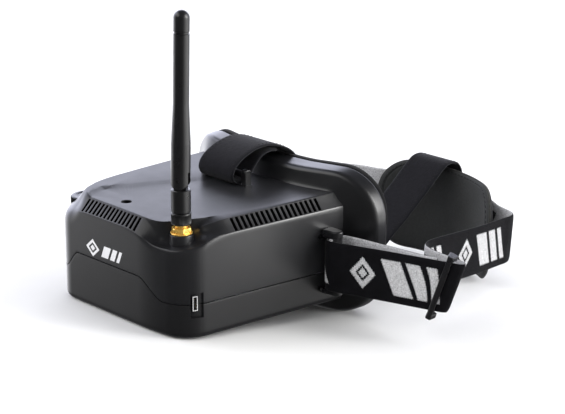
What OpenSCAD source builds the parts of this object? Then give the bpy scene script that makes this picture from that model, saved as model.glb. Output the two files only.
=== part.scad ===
// Head-worn video goggles: two-piece shell, flared face flange, tilting whip
// antenna on a threaded jack, elastic headband with sliders, top strap and pad.
// Millimetres. +Z up, front face looks to -Y, wearer at +Y, origin on the flat underside.

/* [Shell] */
// Width of the front face
body_w = 102; // [94:1:110]
// Depth of the two shells
body_d = 98; // [94:1:102]
// Height of the shells
body_h = 57.8; // [55:0.1:60]
// Outward flare of each side wall, degrees
flare = 3.9; // [2:0.1:5]
// Front corner radius
corner_r = 14; // [10:1:18]
// Shell wall thickness
wall = 2.2; // [1.8:0.1:2.6]
// Height of the parting line between the shells
part_z = 18.3; // [16:0.1:20]
// Height of the raised tongue of the lower shell on the front face
tongue_z = 27.7; // [25:0.1:30]
// Height of the crease where the top chamfer starts
crease_z = 51.5; // [50:0.1:53]
// Horizontal width of the top chamfer
cham_in = 5.4; // [4:0.1:7]
// Height of the antenna shelf in the front right corner
shelf_z = 46; // [45:0.1:48]
// Number of vent slots on the front chamfer
front_slots = 15; // [6:1:16]
// Number of vent slots on each side chamfer
side_slots = 18; // [8:1:20]
// Width of one vent slot
slot_w = 1.4; // [0.8:0.1:1.6]

/* [Face flange] */
// Width over the rim
flange_w = 147; // [140:1:152]
// Height over the rim
flange_h = 79.5; // [76:0.5:84]
// Corner radius of the rim
flange_r = 25; // [20:1:30]
// Rim position behind the front face, on the centre line
rim_y = 110.5; // [109:0.5:112]
// Sweep of the rim towards the temples, per millimetre squared
rim_k = 0.002; // [0.0015:0.0001:0.0022]
// Wall of the flange
flange_t = 2.4; // [2:0.1:3]
// Thickness of the face foam
foam_t = 8; // [6:1:12]
// Width of the face foam ring
foam_w = 15; // [12:1:17]

/* [Antenna] */
// Antenna axis, sideways
ant_x = 37.9; // [36:0.1:39]
// Antenna axis, behind the front face
ant_y = 12.8; // [12:0.1:14]
// Diameter of the whip rod
whip_d = 8; // [7:0.1:9]
// Diameter of the whip foot
foot_d = 9.8; // [9:0.1:10]
// Height of the whip tip above the underside
tip_z = 164.1; // [140:0.1:180]
// Height of the tilt pin
tilt_z = 80.4; // [79:0.1:82]
// Direction of the tilt pin, degrees from +X
pin_a = -56.2; // [-60:0.1:-50]
// Lean of the whip at rest, degrees
whip_lean = 1.3; // [0:0.1:2]

/* [Straps] */
// Headband width
band_w = 27; // [25:1:30]
// Headband thickness
band_t = 1.5; // [1:0.1:2]
// Top strap width
top_w = 28; // [26:1:30]
// Head pad thickness
pad_t = 7; // [5:1:9]

/* [Controls] */
// Thumb wheel radius
wheel_r = 9.6; // [8:0.1:10]
// Thumb wheel thickness
wheel_t = 4.6; // [4:0.1:5]

/* [Hidden] */
tf = tan(flare);
hw = body_w / 2;
ccx = hw + corner_r * tf - corner_r / cos(flare);
band_z = 10.5;
y0 = 45;
fz = 30.25;
an_y = 95.3;
st_x = -4.2;
st_y = 78.2;
g = 0.15;

function arc(cx, cy, r, a, b, n) = [for (i = [0 : n]) [cx + r * cos(a + (b - a) * i / n), cy + r * sin(a + (b - a) * i / n)]];
function side_x(y) = hw + tf * y;
function shell_pts(i, y1) = concat(
    [[-(side_x(y1) - i / cos(flare)), y1]],
    arc(-ccx, corner_r, corner_r - i, 180 + flare, 270, 8),
    arc(ccx, corner_r, corner_r - i, 270, 360 - flare, 8),
    [[side_x(y1) - i / cos(flare), y1]]);
function unit(v) = v / norm(v);
function left(v) = [-v[1], v[0]];
// Offset point of a polyline corner: mitred side point at distance d.
function miter(p, i, d) = let (
    a = i == 0 ? unit(p[1] - p[0]) : unit(p[i] - p[i - 1]),
    b = i == len(p) - 1 ? a : unit(p[i + 1] - p[i]),
    c = i == 0 ? b : a,
    m = unit(left(c) + left(b)))
    p[i] + m * d / max(0.4, m * left(b));
function ribbon(p, t) = concat([for (i = [0 : len(p) - 1]) miter(p, i, t / 2)],
    [for (i = [len(p) - 1 : -1 : 0]) miter(p, i, -t / 2)]);
function rim(x) = rim_y + rim_k * x * x;

// The shells are drawn from the front face; the origin is the middle of the underside.
module place() translate([0, -y0, 0]) children();

// ---------- shells ----------
module shell_block(i, z0, z1, y1 = body_d) translate([0, 0, z0]) linear_extrude(z1 - z0) polygon(shell_pts(i, y1));

// Half space above a plane that rises inwards from height z on a wall plane.
module slope_cut(cx, cy, a, dist, z, g) translate([cx, cy, 0]) rotate([0, 0, a]) translate([dist, 0, z])
    rotate([0, -g, 0]) translate([0, -150, -40]) cube([60, 300, 100]);

module top_chamfers(z, g) {
    st = (90 - flare) / 8;
    slope_cut(-ccx, corner_r, 180 + flare, corner_r, z, g);
    slope_cut(ccx, corner_r, -flare, corner_r, z, g);
    slope_cut(0, corner_r, 270, corner_r, z, g);
    for (k = [0 : 7]) {
        slope_cut(-ccx, corner_r, 180 + flare + st * (k + 0.5), corner_r * cos(st / 2), z, g);
        slope_cut(ccx, corner_r, 270 + st * (k + 0.5), corner_r * cos(st / 2), z, g);
    }
}

module low_cut(cx, cy, a, dist) translate([cx, cy, 0]) rotate([0, 0, a]) translate([dist, 0, 5])
    rotate([0, 40, 0]) translate([0, -150, -60]) cube([40, 300, 80]);

module low_chamfers() {
    st = (90 - flare) / 8;
    low_cut(-ccx, corner_r, 180 + flare, corner_r);
    low_cut(ccx, corner_r, -flare, corner_r);
    low_cut(0, corner_r, 270, corner_r);
    for (k = [0 : 7]) {
        low_cut(-ccx, corner_r, 180 + flare + st * (k + 0.5), corner_r * cos(st / 2));
        low_cut(ccx, corner_r, 270 + st * (k + 0.5), corner_r * cos(st / 2));
    }
}

// Raised tongue outline on the front face, extruded through the front wall.
module tongue(c) translate([0, 34, 0]) rotate([90, 0, 0]) linear_extrude(36)
    polygon([[-47 - c, part_z - 6], [-47 - c, part_z], [-43 - c, part_z + 2], [-37 - c, tongue_z - 2.4], [-33 - c, tongue_z - 0.4 + c], [-31, tongue_z + c],
        [12, tongue_z + c], [15 + c, tongue_z - 0.8 + c], [18.5 + c, tongue_z - 3.4], [25 + c, part_z + 2], [29 + c, part_z], [29 + c, part_z - 6]]);

module corner_shelf() translate([ccx, corner_r, 0]) rotate([0, 0, -45]) {
    translate([corner_r - 9, -60, shelf_z]) cube([40, 120, 40]);
    translate([corner_r - 9, 0, shelf_z]) rotate([0, -34.6, 0]) translate([0, -60, -10]) cube([40, 120, 60]);
}

module upright(x, y, z0, z1, r, b) translate([x, y, z0]) difference() {
    cylinder(h = z1 - z0, r = r, $fn = 32);
    translate([0, 0, -1]) cylinder(h = z1 - z0 + 2, r = b, $fn = 24);
}

module usb_frame() translate([ccx, corner_r, 18.9]) rotate([0, 0, -15]) translate([corner_r, 0, 0]) children();

module side_frame(y) translate([side_x(y), y, 0]) rotate([0, 0, -flare]) children();

module upper_shell() place() color([0.07, 0.07, 0.08]) {
    difference() {
        union() {
            difference() {
                shell_block(0, part_z, body_h);
                top_chamfers(crease_z, atan2(cham_in, body_h - crease_z - 0.2));
                corner_shelf();
                difference() {
                    union() {
                        shell_block(wall, part_z - 1, crease_z - 2.4, body_d + 1);
                        shell_block(8.2, crease_z - 3, body_h - 2.2, body_d + 1);
                    }
                    translate([ccx, corner_r, 38]) rotate([0, 0, -45]) translate([-8, -40, 0]) cube([60, 80, 40]);
                }
            }
            translate([ant_x, ant_y, 39]) cylinder(h = 12.2, r = 5.4, $fn = 48);
            translate([-9.4, 15.4, 53]) cylinder(h = 3.2, r = 4.2, $fn = 40);
            for (s = [-1, 1]) translate([s * 52 - 3.6, 87, 40.4]) cube([7.2, body_d - 87, 5.2]);
            for (s = [-1, 1]) {
                upright(s * 46, 39, part_z, body_h - 2, 3, 0.9);
                upright(s * 50.2, 79, part_z, body_h - 2, 3, 0.9);
            }
        }
        tongue(g);
        translate([ant_x, ant_y, shelf_z]) difference() {
            cylinder(h = 30, r = 7.2, $fn = 48);
            translate([0, 0, -1]) cylinder(h = 6.2, r = 5.4, $fn = 48);
        }
        translate([ant_x, ant_y, 30]) cylinder(h = 40, r = 3.3, $fn = 40);
        // shallow valley in the top for the strap staple
        translate([0, 0, 56.8]) linear_extrude(5) polygon([[-24, 101], [24, 101], [24, 60], [15, 44], [-24, 30], [-27, 33]]);
        for (s = [-1, 1]) translate([s * 51, 84, 43]) rotate([-90, 0, 0]) cylinder(h = 20, r = 0.9, $fn = 24);
        // thumb wheel slot
        translate([-48.7, 20.6, 46.3]) cylinder(h = 5.9, r = wheel_r + 0.4, $fn = 64);
        // recessed screw in the top
        translate([-9.4, 15.4, 54]) cylinder(h = 10, r = 2.7, $fn = 40);
        translate([-9.4, 15.4, 45]) cylinder(h = 20, r = 1.2, $fn = 32);
        // front vents
        for (k = [0 : front_slots - 1]) translate([-28.3 + 41 * k / (front_slots - 1), -1, 51.3]) cube([slot_w, 8.6, 6.3]);
        // side vents
        for (s = [-1, 1], k = [0 : side_slots - 1]) scale([s, 1, 1]) side_frame(35.5 + 54.5 * k / (side_slots - 1))
            translate([-8.6, 0, 52]) cube([10, slot_w, 5.4]);
        // charging port pocket
        usb_frame() translate([-2, -3.75, -4.9]) cube([10, 7.5, 13]);
        usb_frame() translate([-12, -2, -4.3]) cube([14, 4, 8.6]);
        // holes behind the side anchors
        for (s = [-1, 1]) scale([s, 1, 1]) side_frame(an_y - 1.5) translate([-6, -5, 38]) rotate([0, 90, 0]) cylinder(h = 7, r = 1.2, $fn = 24);
        for (s = [-1, 1]) translate([st_x + s * 10.5, st_y, 50]) cylinder(h = 10, r = 1.2, $fn = 24);
    }
}

module lower_shell() place() color([0.06, 0.06, 0.065]) {
    difference() {
        union() {
            difference() {
                shell_block(0, 0, part_z - g);
                low_chamfers();
                shell_block(wall, 6, part_z + 5, body_d + 1);
                shell_block(7, 2.4, part_z + 5, body_d + 1);
            }
            intersection() {
                difference() {
                    shell_block(0, part_z - 1, tongue_z + 1, 34);
                    shell_block(wall, part_z - 3, tongue_z + 3, 40);
                }
                tongue(0);
            }
            for (s = [-1, 1]) {
                translate([s * 46, 39, 2]) cylinder(h = part_z - g - 2, r = 3, $fn = 32);
                translate([s * 50.2, 79, 2]) cylinder(h = part_z - g - 2, r = 3, $fn = 32);
                translate([s * 52 - 3.6, 87, 12.6]) cube([7.2, body_d - 87, 5.2]);
            }
        }
        for (s = [-1, 1], q = [[46, 39], [50.2, 79]]) translate([s * q[0], q[1], -1]) {
            cylinder(h = 30, r = 1.2, $fn = 24);
            cylinder(h = 5, r = 2.3, $fn = 32);
        }
        usb_frame() translate([-2, -3.75, -4.9]) cube([10, 7.5, 13]);
        usb_frame() translate([-12, -2, -4.3]) cube([14, 4, 8.6]);
        for (s = [-1, 1]) translate([s * 51, 84, 15.2]) rotate([-90, 0, 0]) cylinder(h = 20, r = 0.9, $fn = 24);
        for (s = [-1, 1]) scale([s, 1, 1]) side_frame(an_y - 1.5) translate([-6, -5, 10]) rotate([0, 90, 0]) cylinder(h = 7, r = 1.2, $fn = 24);
    }
}

// ---------- face side ----------
function rim_pts(i) = let (w = flange_w / 2 - i, h = flange_h / 2 - i, r = flange_r - i) concat(
    arc(w - r, h - r, r, 0, 90, 7), arc(-w + r, h - r, r, 90, 180, 7),
    arc(-w + r, -h + r, r, 180, 270, 7), arc(w - r, -h + r, r, 270, 360, 7));

// Y-extruded rim outline centred on the flange height.
module rim_block(i, y0, y1) translate([0, y1, fz]) rotate([90, 0, 0]) linear_extrude(y1 - y0) polygon(rim_pts(i));

// Plan-curved slab between two sweeps of the rim curve.
module rim_slab(d0, d1) translate([0, 0, -30]) linear_extrude(130)
    polygon(concat([for (x = [-80 : 8 : 80]) [x, rim(x) + d0]], [for (x = [80 : -8 : -80]) [x, rim(x) + d1]]));

module nose(r, y0, y1) translate([0, y0, -16]) rotate([-90, 0, 0]) cylinder(h = y1 - y0, r = r, $fn = 72);

// Half space in front of a plane through the rim wall, leaning forwards to the axis.
module flare_cut(cx, cz, a, dist, d, lean) translate([cx, d, fz + cz]) rotate([0, -a, 0]) translate([dist, 0, 0])
    rotate([0, 0, lean]) translate([-60, -80, -150]) cube([120, 80, 300]);

module flare_cuts(i, e) {
    w = flange_w / 2 - flange_r; h = flange_h / 2 - flange_r;
    for (a = [0 : 30 : 330]) flare_cut(w * sign(round(cos(a) * 10)), h * sign(round(sin(a) * 10)), a, flange_r - i,
        104.5 + 9.5 * cos(a) * cos(a) + e, 36 + 6 * cos(a) * cos(a));
}

module face_flange() place() color([0.05, 0.05, 0.055]) {
    difference() {
        intersection() {
            difference() {
                rim_block(0, 93, 124);
                flare_cuts(0.4, 0);
            }
            rim_slab(-30, 0);
        }
        difference() {
            rim_block(flange_t, 91, 130);
            flare_cuts(flange_t + 0.4, 1.5);
        }
        shell_block(-0.4, -1, body_h + 0.6, body_d + 3);
        nose(25, 80, 130);
    }
    difference() {
        translate([-54.6, body_d + 0.6, 2]) cube([109.2, 3, 54]);
        translate([-47.5, 90, 4.6]) cube([95, 40, 48.6]);
        nose(25, 80, 130);
        for (s = [-1, 1], z = [15.2, 43]) translate([s * 51, 90, z]) rotate([-90, 0, 0]) cylinder(h = 40, r = 1.2, $fn = 24);
    }
}

module face_foam() place() color([0.03, 0.03, 0.03]) difference() {
    intersection() {
        rim_block(4, 100, 140);
        rim_slab(0.3, foam_t);
    }
    rim_block(foam_w, 90, 150);
    nose(30, 80, 150);
}

module light_shroud() place() color([0.02, 0.02, 0.02]) difference() {
    translate([-46, 60.4, 5.4]) cube([92, 37.2, 47]);
    translate([-44.4, 60, 7]) cube([88.8, 40, 43.8]);
}

module lens() place() color([0.75, 0.8, 0.85, 0.5]) translate([-43.8, 57.7, 7.6]) cube([87.6, 2.4, 42.6]);

module lens_frame() place() color([0.03, 0.03, 0.03]) difference() {
    translate([-46, 54.6, 5.4]) cube([92, 5.5, 47]);
    translate([-44, 57.5, 7.4]) cube([88, 4, 43]);
    translate([-41, 50, 10.4]) cube([82, 12, 37]);
}

module lcd_panel() place() color([0.02, 0.03, 0.05]) translate([-35, 29.6, 8]) cube([70, 3, 43]);

module lcd_bracket() place() color([0.1, 0.1, 0.1]) difference() {
    union() {
        translate([-38, 26.6, 5.6]) cube([76, 7.4, 47.2]);
        for (s = [-1, 1]) translate([s * 40.5 - 2.5, 26.6, 24]) cube([5, 3, 10]);
    }
    translate([-35.2, 29.4, 7.8]) cube([70.4, 3.4, 43.4]);
    translate([-33, 25, 10]) cube([66, 12, 39]);
    translate([-6, 29, 4]) cube([12, 3.4, 6]);
    for (s = [-1, 1]) translate([s * 41, 25, 29]) rotate([-90, 0, 0]) cylinder(h = 8, r = 0.9, $fn = 24);
}

module lcd_ribbon() place() color([0.7, 0.42, 0.12]) {
    translate([-5, 30.6, 4]) cube([10, 0.25, 3.9]);
    translate([-5, 13.9, 4]) cube([10, 16.9, 0.25]);
    translate([-5, 13.9, 4]) cube([10, 0.25, 8]);
}

module main_board() place() color([0.05, 0.22, 0.1]) difference() {
    translate([-36, 12.2, 5]) cube([58, 1.6, 40]);
    for (q = [[-33, 8], [19, 8], [-33, 42], [19, 42]]) translate([q[0], 10, q[1]]) rotate([-90, 0, 0]) cylinder(h = 6, r = 1.1, $fn = 24);
}

module receiver_module() place() color([0.75, 0.75, 0.76]) translate([-8, 13.9, 14]) cube([28, 3.2, 23]);

module battery() place() color([0.55, 0.57, 0.6]) translate([-33, 3.2, 6.4]) cube([58, 8, 31]);

module charge_board() place() color([0.05, 0.2, 0.1]) usb_frame() translate([-16.6, 1.55, -8]) cube([14, 1.2, 16]);

module usb_port() place() color([0.75, 0.75, 0.76]) usb_frame() difference() {
    translate([-6.6, -1.35, -3.8]) cube([5.4, 2.7, 7.6]);
    translate([-5.2, -0.95, -3.4]) cube([6, 1.9, 6.8]);
}

module coax_pigtail() place() color([0.12, 0.12, 0.12]) {
    translate([ant_x, ant_y, 31.4]) cylinder(h = 4, r = 0.9, $fn = 24);
    translate([20.4, 15.4, 31.4]) rotate([0, 90, -8.4]) cylinder(h = 17.8, r = 0.9, $fn = 24);
}

// ---------- thumb wheel ----------
module jog_wheel() place() color([0.1, 0.1, 0.11]) translate([-48.7, 20.6, 46.6]) difference() {
    cylinder(h = wheel_t, r = wheel_r, $fn = 96);
    translate([0, 0, -1]) cylinder(h = wheel_t + 2, r = 1.55, $fn = 40);
}

module jog_encoder() place() color([0.2, 0.2, 0.2]) {
    translate([-48.7, 20.6, 41]) cylinder(h = 9.8, r = 1.5, $fn = 40);
    translate([-49.2, 15.6, 37.5]) cube([9.5, 10, 4]);
}

module top_screw() place() color([0.2, 0.2, 0.21]) translate([-9.4, 15.4, 0]) difference() {
    union() {
        translate([0, 0, 54.1]) cylinder(h = 1.5, r = 2.2, $fn = 40);
        translate([0, 0, 46]) cylinder(h = 8.2, r = 1.05, $fn = 32);
    }
    translate([-1.4, -0.25, 55]) cube([2.8, 0.5, 2]);
    translate([-0.25, -1.4, 55]) cube([0.5, 2.8, 2]);
}

// ---------- antenna ----------
module sma_jack() place() color([0.83, 0.66, 0.22]) translate([ant_x, ant_y, 0]) {
    translate([0, 0, 35.5]) cylinder(h = 2.4, r = 4.6, $fn = 6);
    difference() {
        translate([0, 0, 37.8]) cylinder(h = 21.3, r = 3.15, $fn = 48);
        translate([0, 0, 50]) cylinder(h = 12, r = 2.2, $fn = 40);
    }
    translate([0, 0, 49]) cylinder(h = 7, r = 0.5, $fn = 24);
}

module sma_nut() place() color([0.83, 0.66, 0.22]) translate([ant_x, ant_y, 51.35]) difference() {
    union() {
        cylinder(h = 0.9, r = 5.35, $fn = 48);
        translate([0, 0, 0.85]) cylinder(h = 3.2, r = 5.2, $fn = 6);
    }
    translate([0, 0, -1]) cylinder(h = 6, r = 3.22, $fn = 48);
}

module antenna_nut() place() color([0.06, 0.06, 0.06]) translate([ant_x, ant_y, 0]) rotate_extrude($fn = 72)
    polygon([[3.3, 57.1], [4.75, 57.1], [5.05, 57.4], [5.05, 62.9], [4.75, 63.2], [2.56, 63.2], [2.56, 60.6], [3.3, 60.6]]);

module tilt_frame() translate([ant_x, ant_y, tilt_z]) rotate([0, 0, pin_a]) children();

module whip_frame() tilt_frame() rotate([-whip_lean, 0, 0]) children();

module antenna_collar() place() color([0.06, 0.06, 0.06]) difference() {
    union() {
        translate([ant_x, ant_y, 0]) rotate_extrude($fn = 72)
            polygon([[0, 59.5], [3.15, 59.5], [3.15, 60.4], [2.5, 60.4], [2.5, 63.4], [4.7, 63.4], [4.95, 63.7], [4.95, 74.6], [4.6, 74.95], [0, 74.95]]);
        tilt_frame() {
            translate([-1.8, -3.2, -5.7]) cube([3.6, 6.4, 5.7]);
            rotate([0, 90, 0]) translate([0, 0, -1.8]) cylinder(h = 3.6, r = 3.2, $fn = 48);
        }
    }
    tilt_frame() rotate([0, 90, 0]) translate([0, 0, -6]) cylinder(h = 12, r = 0.97, $fn = 40);
}

module antenna_pin() place() color([0.3, 0.3, 0.31]) tilt_frame() rotate([0, 90, 0]) translate([0, 0, -4.45]) cylinder(h = 8.9, r = 0.92, $fn = 40);

module antenna_whip() place() color([0.05, 0.05, 0.05]) difference() {
    union() {
        whip_frame() rotate_extrude($fn = 72)
            polygon([[0, 0], [foot_d / 2, 0], [foot_d / 2, 17.6], [foot_d / 2 - 0.12, 20.6], [whip_d / 2 + 0.12, 35], [whip_d / 2, 38],
                [whip_d / 2, tip_z - tilt_z - 11.6], [0, tip_z - tilt_z - 11.6]]);
        intersection() {
            whip_frame() translate([0, 0, -6]) cylinder(h = 6.5, r = foot_d / 2, $fn = 72);
            tilt_frame() rotate([0, 90, 0]) translate([0, 0, -6]) cylinder(h = 12, r = 4.9, $fn = 64);
        }
    }
    whip_frame() translate([-2.1, -6, -6]) cube([4.2, 12, 9.6]);
    tilt_frame() rotate([0, 90, 0]) translate([0, 0, -6]) cylinder(h = 12, r = 0.93, $fn = 40);
    whip_frame() translate([0, 0, 6.6]) cylinder(h = 41, r = 0.9, $fn = 24);
    whip_frame() translate([0, 0, tip_z - tilt_z - 15]) cylinder(h = 6, r = 2.05, $fn = 32);
}

module antenna_cap() place() color([0.05, 0.05, 0.05]) whip_frame() translate([0, 0, tip_z - tilt_z]) rotate_extrude($fn = 72)
    polygon(concat([[0, -14.8], [2, -14.8], [2, -11.4], [whip_d / 2 - 0.35, -11.4], [whip_d / 2 - 0.35, -10.6], [whip_d / 2, -10.3]],
        arc(0, -whip_d / 2, whip_d / 2, 0, 90, 10)));

module antenna_radiator() place() color([0.8, 0.62, 0.25]) whip_frame() translate([0, 0, 7]) cylinder(h = 39.6, r = 0.7, $fn = 24);

// ---------- strap fittings ----------
module top_staple() place() color([0.07, 0.07, 0.075]) {
    difference() {
        for (s = [-1, 1]) translate([st_x + s * 16.3 - 1.8, st_y - 2.2, 56.9]) cube([3.6, 4.4, 9.8]);
        for (s = [-1, 1]) translate([st_x + s * 16.3, st_y - 2.4, 66.9]) rotate([45, 0, 0]) cube([20, 1, 1], center = true);
    }
    translate([st_x - 15.4, st_y, 63.6]) rotate([0, 90, 0]) cylinder(h = 30.8, r = 1.8, $fn = 40);
    difference() {
        translate([st_x - 17.3, st_y - 2.4, 56.9]) cube([34.6, 4.8, 1.2]);
        for (s = [-1, 1]) translate([st_x + s * 10.5, st_y, 50]) cylinder(h = 20, r = 1.1, $fn = 24);
    }
}

module anchor() side_frame(an_y - 1.5) {
    difference() {
        translate([0.12, -7, 6]) cube([2, 10, 36.2]);
        for (z = [10, 38]) translate([-1, -5, z]) rotate([0, 90, 0]) cylinder(h = 5, r = 0.95, $fn = 24);
    }
    for (z = [6, 37.9]) translate([0, 0, z]) linear_extrude(z < 20 ? 4.1 : 4.3)
        polygon([[0.2, -3.7], [5, -3.5], [8, -3.1], [10, -2.3], [11, -0.6], [11, 1.2], [10, 2.8], [8, 3.5], [5, 3.4], [0.2, 3]]);
    translate([8.1, 0.3, 8]) cylinder(h = 32, r = 2.6, $fn = 48);
}

module anchor_right() place() color([0.05, 0.05, 0.055]) anchor();
module anchor_left() place() color([0.05, 0.05, 0.055]) scale([-1, 1, 1]) anchor();

module anchor_screws() place() color([0.25, 0.25, 0.26]) for (s = [-1, 1], z = [10, 38]) scale([s, 1, 1]) side_frame(an_y - 1.5)
    translate([-4.2, -5, z]) rotate([0, 90, 0]) { cylinder(h = 1.6, r = 1.9, $fn = 32); cylinder(h = 6, r = 0.85, $fn = 24); }

// Slider: flat front bar and round rear bar, the band passes between them.
module slider() {
    for (w = [-1, 1]) translate([0, 0, w * 17]) cube([5.2, 6, 2.8], center = true);
    translate([0, -2.2, 0]) cube([5.2, 1.6, 34], center = true);
    translate([0, 2.1, 0]) cylinder(h = 34, r = 0.85, center = true, $fn = 32);
}
module slider_right() place() color([0.05, 0.05, 0.055]) translate([124.6, 108, 24]) rotate([0, 0, 16.8]) rotate([0, 19, 0]) slider();
module slider_left() place() color([0.05, 0.05, 0.055]) scale([-1, 1, 1]) translate([92, 119.4, 24]) rotate([0, 0, 50.2]) slider();

// ---------- soft goods ----------
module band(p, z0) translate([0, 0, z0]) linear_extrude(band_w) polygon(ribbon(p, band_t));

// Headband around the right bar: front layer out, back layer returning.
module loop_right() place() color([0.04, 0.04, 0.045]) band(concat(
    [[112, 108.3], [90, 105.8], [73, 103.6]], arc(67, 96.2, 6.1, 108, 200, 5), [[61.3, 91.6], [62.9, 89.9], [65.8, 89.5], [90, 97.5], [112, 104.1]]), band_z);

// Run through the slider and back round its end.
module turn_right() place() color([0.04, 0.04, 0.045]) band([[113.5, 104.6], [124.6, 108], [129, 109.3], [131, 110.6], [131.3, 112], [129.6, 113.2], [120, 115.4], [109.6, 118.2]], band_z);

// Run from the slider back to the head pad.
module side_right() place() color([0.04, 0.04, 0.045]) translate([0, 121, 24]) rotate([-6.7, 0, 0]) translate([0, -121, -24])
    band([[107.8, 119.2], [101, 122.2], [96.6, 127.2], [94, 134], [91, 148], [84, 182], [76.8, 209], [75.2, 216], [72, 222.6], [67, 226], [61.6, 225]], band_z);

// Band behind the head pad.
module headband_back() place() color([0.04, 0.04, 0.045]) band(arc(6.2, 156, 87.2, 53, 120, 12), 0.2);

module side_left() place() color([0.04, 0.04, 0.045]) scale([-1, 1, 1]) translate([0, 129, 24]) rotate([-6.5, 0, 0]) translate([0, -129, -24])
    band([[99.6, 129], [101, 136], [100, 148], [95.5, 168], [86, 190], [73, 210], [60, 222], [51, 227.4], [43.4, 229.4]], band_z);

module loop_left() place() color([0.04, 0.04, 0.045]) scale([-1, 1, 1]) band(concat(
    [[88.5, 122.8], [84, 117.5], [72, 104.6]], arc(65.5, 93.55, 3.7, 140, 320, 8), [[78, 102.6], [86, 112.2], [98.6, 127.3]]), band_z);

module strip(p, w, t) translate([-w / 2, 0, 0]) rotate([90, 0, 90]) linear_extrude(w) polygon(ribbon(p, t));

// Top strap round the staple bar, doubled up to the flange rim.
module top_strap_front() place() color([0.05, 0.05, 0.055]) translate([st_x, 0, 0]) strip([[102.5, 72.4], [97, 72.8], [91.4, 71], [87.4, 67.4],
    [84, 63.6], [81, 60.6], [78, 59.3], [74.8, 59.4], [72.3, 61.6], [71.5, 65], [72.6, 68.2], [75, 70.6], [80.3, 72.9], [88.3, 75.3], [94, 76.4], [99.2, 76.5], [103.6, 75.5]], top_w, 1.5);

// Single top strap from the flange rim down behind it and up to the pad.
module top_strap_rear() place() color([0.05, 0.05, 0.055]) translate([2, 0, 0]) strip([[104.5, 75.2], [108.5, 73.4], [112.4, 72.1], [118, 71], [122.4, 68.2], [125.4, 63], [129.5, 50], [136, 32],
    [144.5, 15], [153, 3.5], [163, -1.6], [174, 0.8], [186.8, 9.3], [206.5, 23.6], [220, 34.6], [225.4, 39.4], [229.4, 42.2], [233.6, 43], [238.4, 41.6], [241.4, 37], [241.4, 30]], top_w, 1.5);

module head_pad() place() color([0.08, 0.08, 0.085]) translate([17.4, 237.4, -17.4]) rotate([0, 0, -6.8]) rotate([-2.7, 0, 0]) intersection() {
    linear_extrude(53.4) polygon(concat(arc(0, -84, 84, 90 - 38.4, 90 + 38.4, 20), arc(0, -84, 84 - pad_t, 90 + 38.4, 90 - 38.4, 20)));
    translate([0, 20, 0]) rotate([90, 0, 0]) linear_extrude(80)
        polygon(concat(arc(32, 33.4, 20, 0, 90, 8), arc(-32, 33.4, 20, 90, 180, 8), arc(-36, 16, 16, 180, 270, 8), arc(36, 16, 16, 270, 360, 8)));
}

// ---------- fasteners ----------
module housing_screws() place() color([0.3, 0.3, 0.31]) for (s = [-1, 1], q = [[46, 39], [50.2, 79]]) translate([s * q[0], q[1], 0]) {
    translate([0, 0, 2.2]) cylinder(h = 1.7, r = 2, $fn = 32);
    translate([0, 0, 3.6]) cylinder(h = 22, r = 0.85, $fn = 24);
}

module flange_screws() place() color([0.3, 0.3, 0.31]) for (s = [-1, 1], z = [15.2, 43]) translate([s * 51, 0, z]) rotate([-90, 0, 0]) {
    translate([0, 0, body_d + 3.7]) cylinder(h = 1.5, r = 1.9, $fn = 32);
    translate([0, 0, body_d - 3]) cylinder(h = 7.4, r = 0.85, $fn = 24);
}

module board_screws() place() color([0.55, 0.55, 0.56]) for (q = [[-33, 8], [19, 8], [-33, 42], [19, 42]]) translate([q[0], 14, q[1]]) rotate([-90, 0, 0]) {
    cylinder(h = 1.2, r = 1.8, $fn = 32);
    translate([0, 0, -2.6]) cylinder(h = 3, r = 0.95, $fn = 24);
}

module staple_screws() place() color([0.3, 0.3, 0.31]) for (s = [-1, 1]) translate([st_x + s * 10.5, st_y, 0]) {
    translate([0, 0, 53.8]) cylinder(h = 1.6, r = 1.9, $fn = 32);
    translate([0, 0, 55]) cylinder(h = 2.9, r = 0.85, $fn = 24);
}

upper_shell();
lower_shell();
face_flange();
face_foam();
light_shroud();
lens();
lens_frame();
lcd_panel();
lcd_bracket();
lcd_ribbon();
main_board();
receiver_module();
battery();
charge_board();
usb_port();
coax_pigtail();
jog_wheel();
jog_encoder();
top_screw();
sma_jack();
sma_nut();
antenna_nut();
antenna_collar();
antenna_pin();
antenna_whip();
antenna_cap();
antenna_radiator();
top_staple();
anchor_right();
anchor_left();
anchor_screws();
slider_right();
slider_left();
loop_right();
turn_right();
side_right();
headband_back();
side_left();
loop_left();
top_strap_front();
top_strap_rear();
head_pad();
housing_screws();
flange_screws();
board_screws();
staple_screws();
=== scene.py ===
import bpy, bmesh, math
import numpy as np
from mathutils import Vector, Matrix


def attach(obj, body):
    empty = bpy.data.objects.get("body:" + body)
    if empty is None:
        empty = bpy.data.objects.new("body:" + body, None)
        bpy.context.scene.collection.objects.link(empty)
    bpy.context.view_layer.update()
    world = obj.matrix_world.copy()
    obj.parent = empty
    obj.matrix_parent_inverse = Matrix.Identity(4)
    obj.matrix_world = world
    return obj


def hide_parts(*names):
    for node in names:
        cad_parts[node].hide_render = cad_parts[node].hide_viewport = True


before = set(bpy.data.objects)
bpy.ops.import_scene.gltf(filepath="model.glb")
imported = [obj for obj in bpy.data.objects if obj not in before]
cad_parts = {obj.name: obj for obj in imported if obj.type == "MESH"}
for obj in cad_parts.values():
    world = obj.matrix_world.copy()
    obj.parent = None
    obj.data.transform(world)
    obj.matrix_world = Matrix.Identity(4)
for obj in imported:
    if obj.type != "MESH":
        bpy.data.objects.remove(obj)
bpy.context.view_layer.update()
SC = bpy.context.scene
Y0 = 45.0            # drawn from the front face in millimetres, shifted to the frame's origin
RNG = np.random.default_rng(7)


# ------------------------------------------------------------------ helpers
def to_m(v):
    v = np.asarray(v, float)
    w = v.copy()
    w[..., 1] -= Y0
    return w * 0.001


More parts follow.
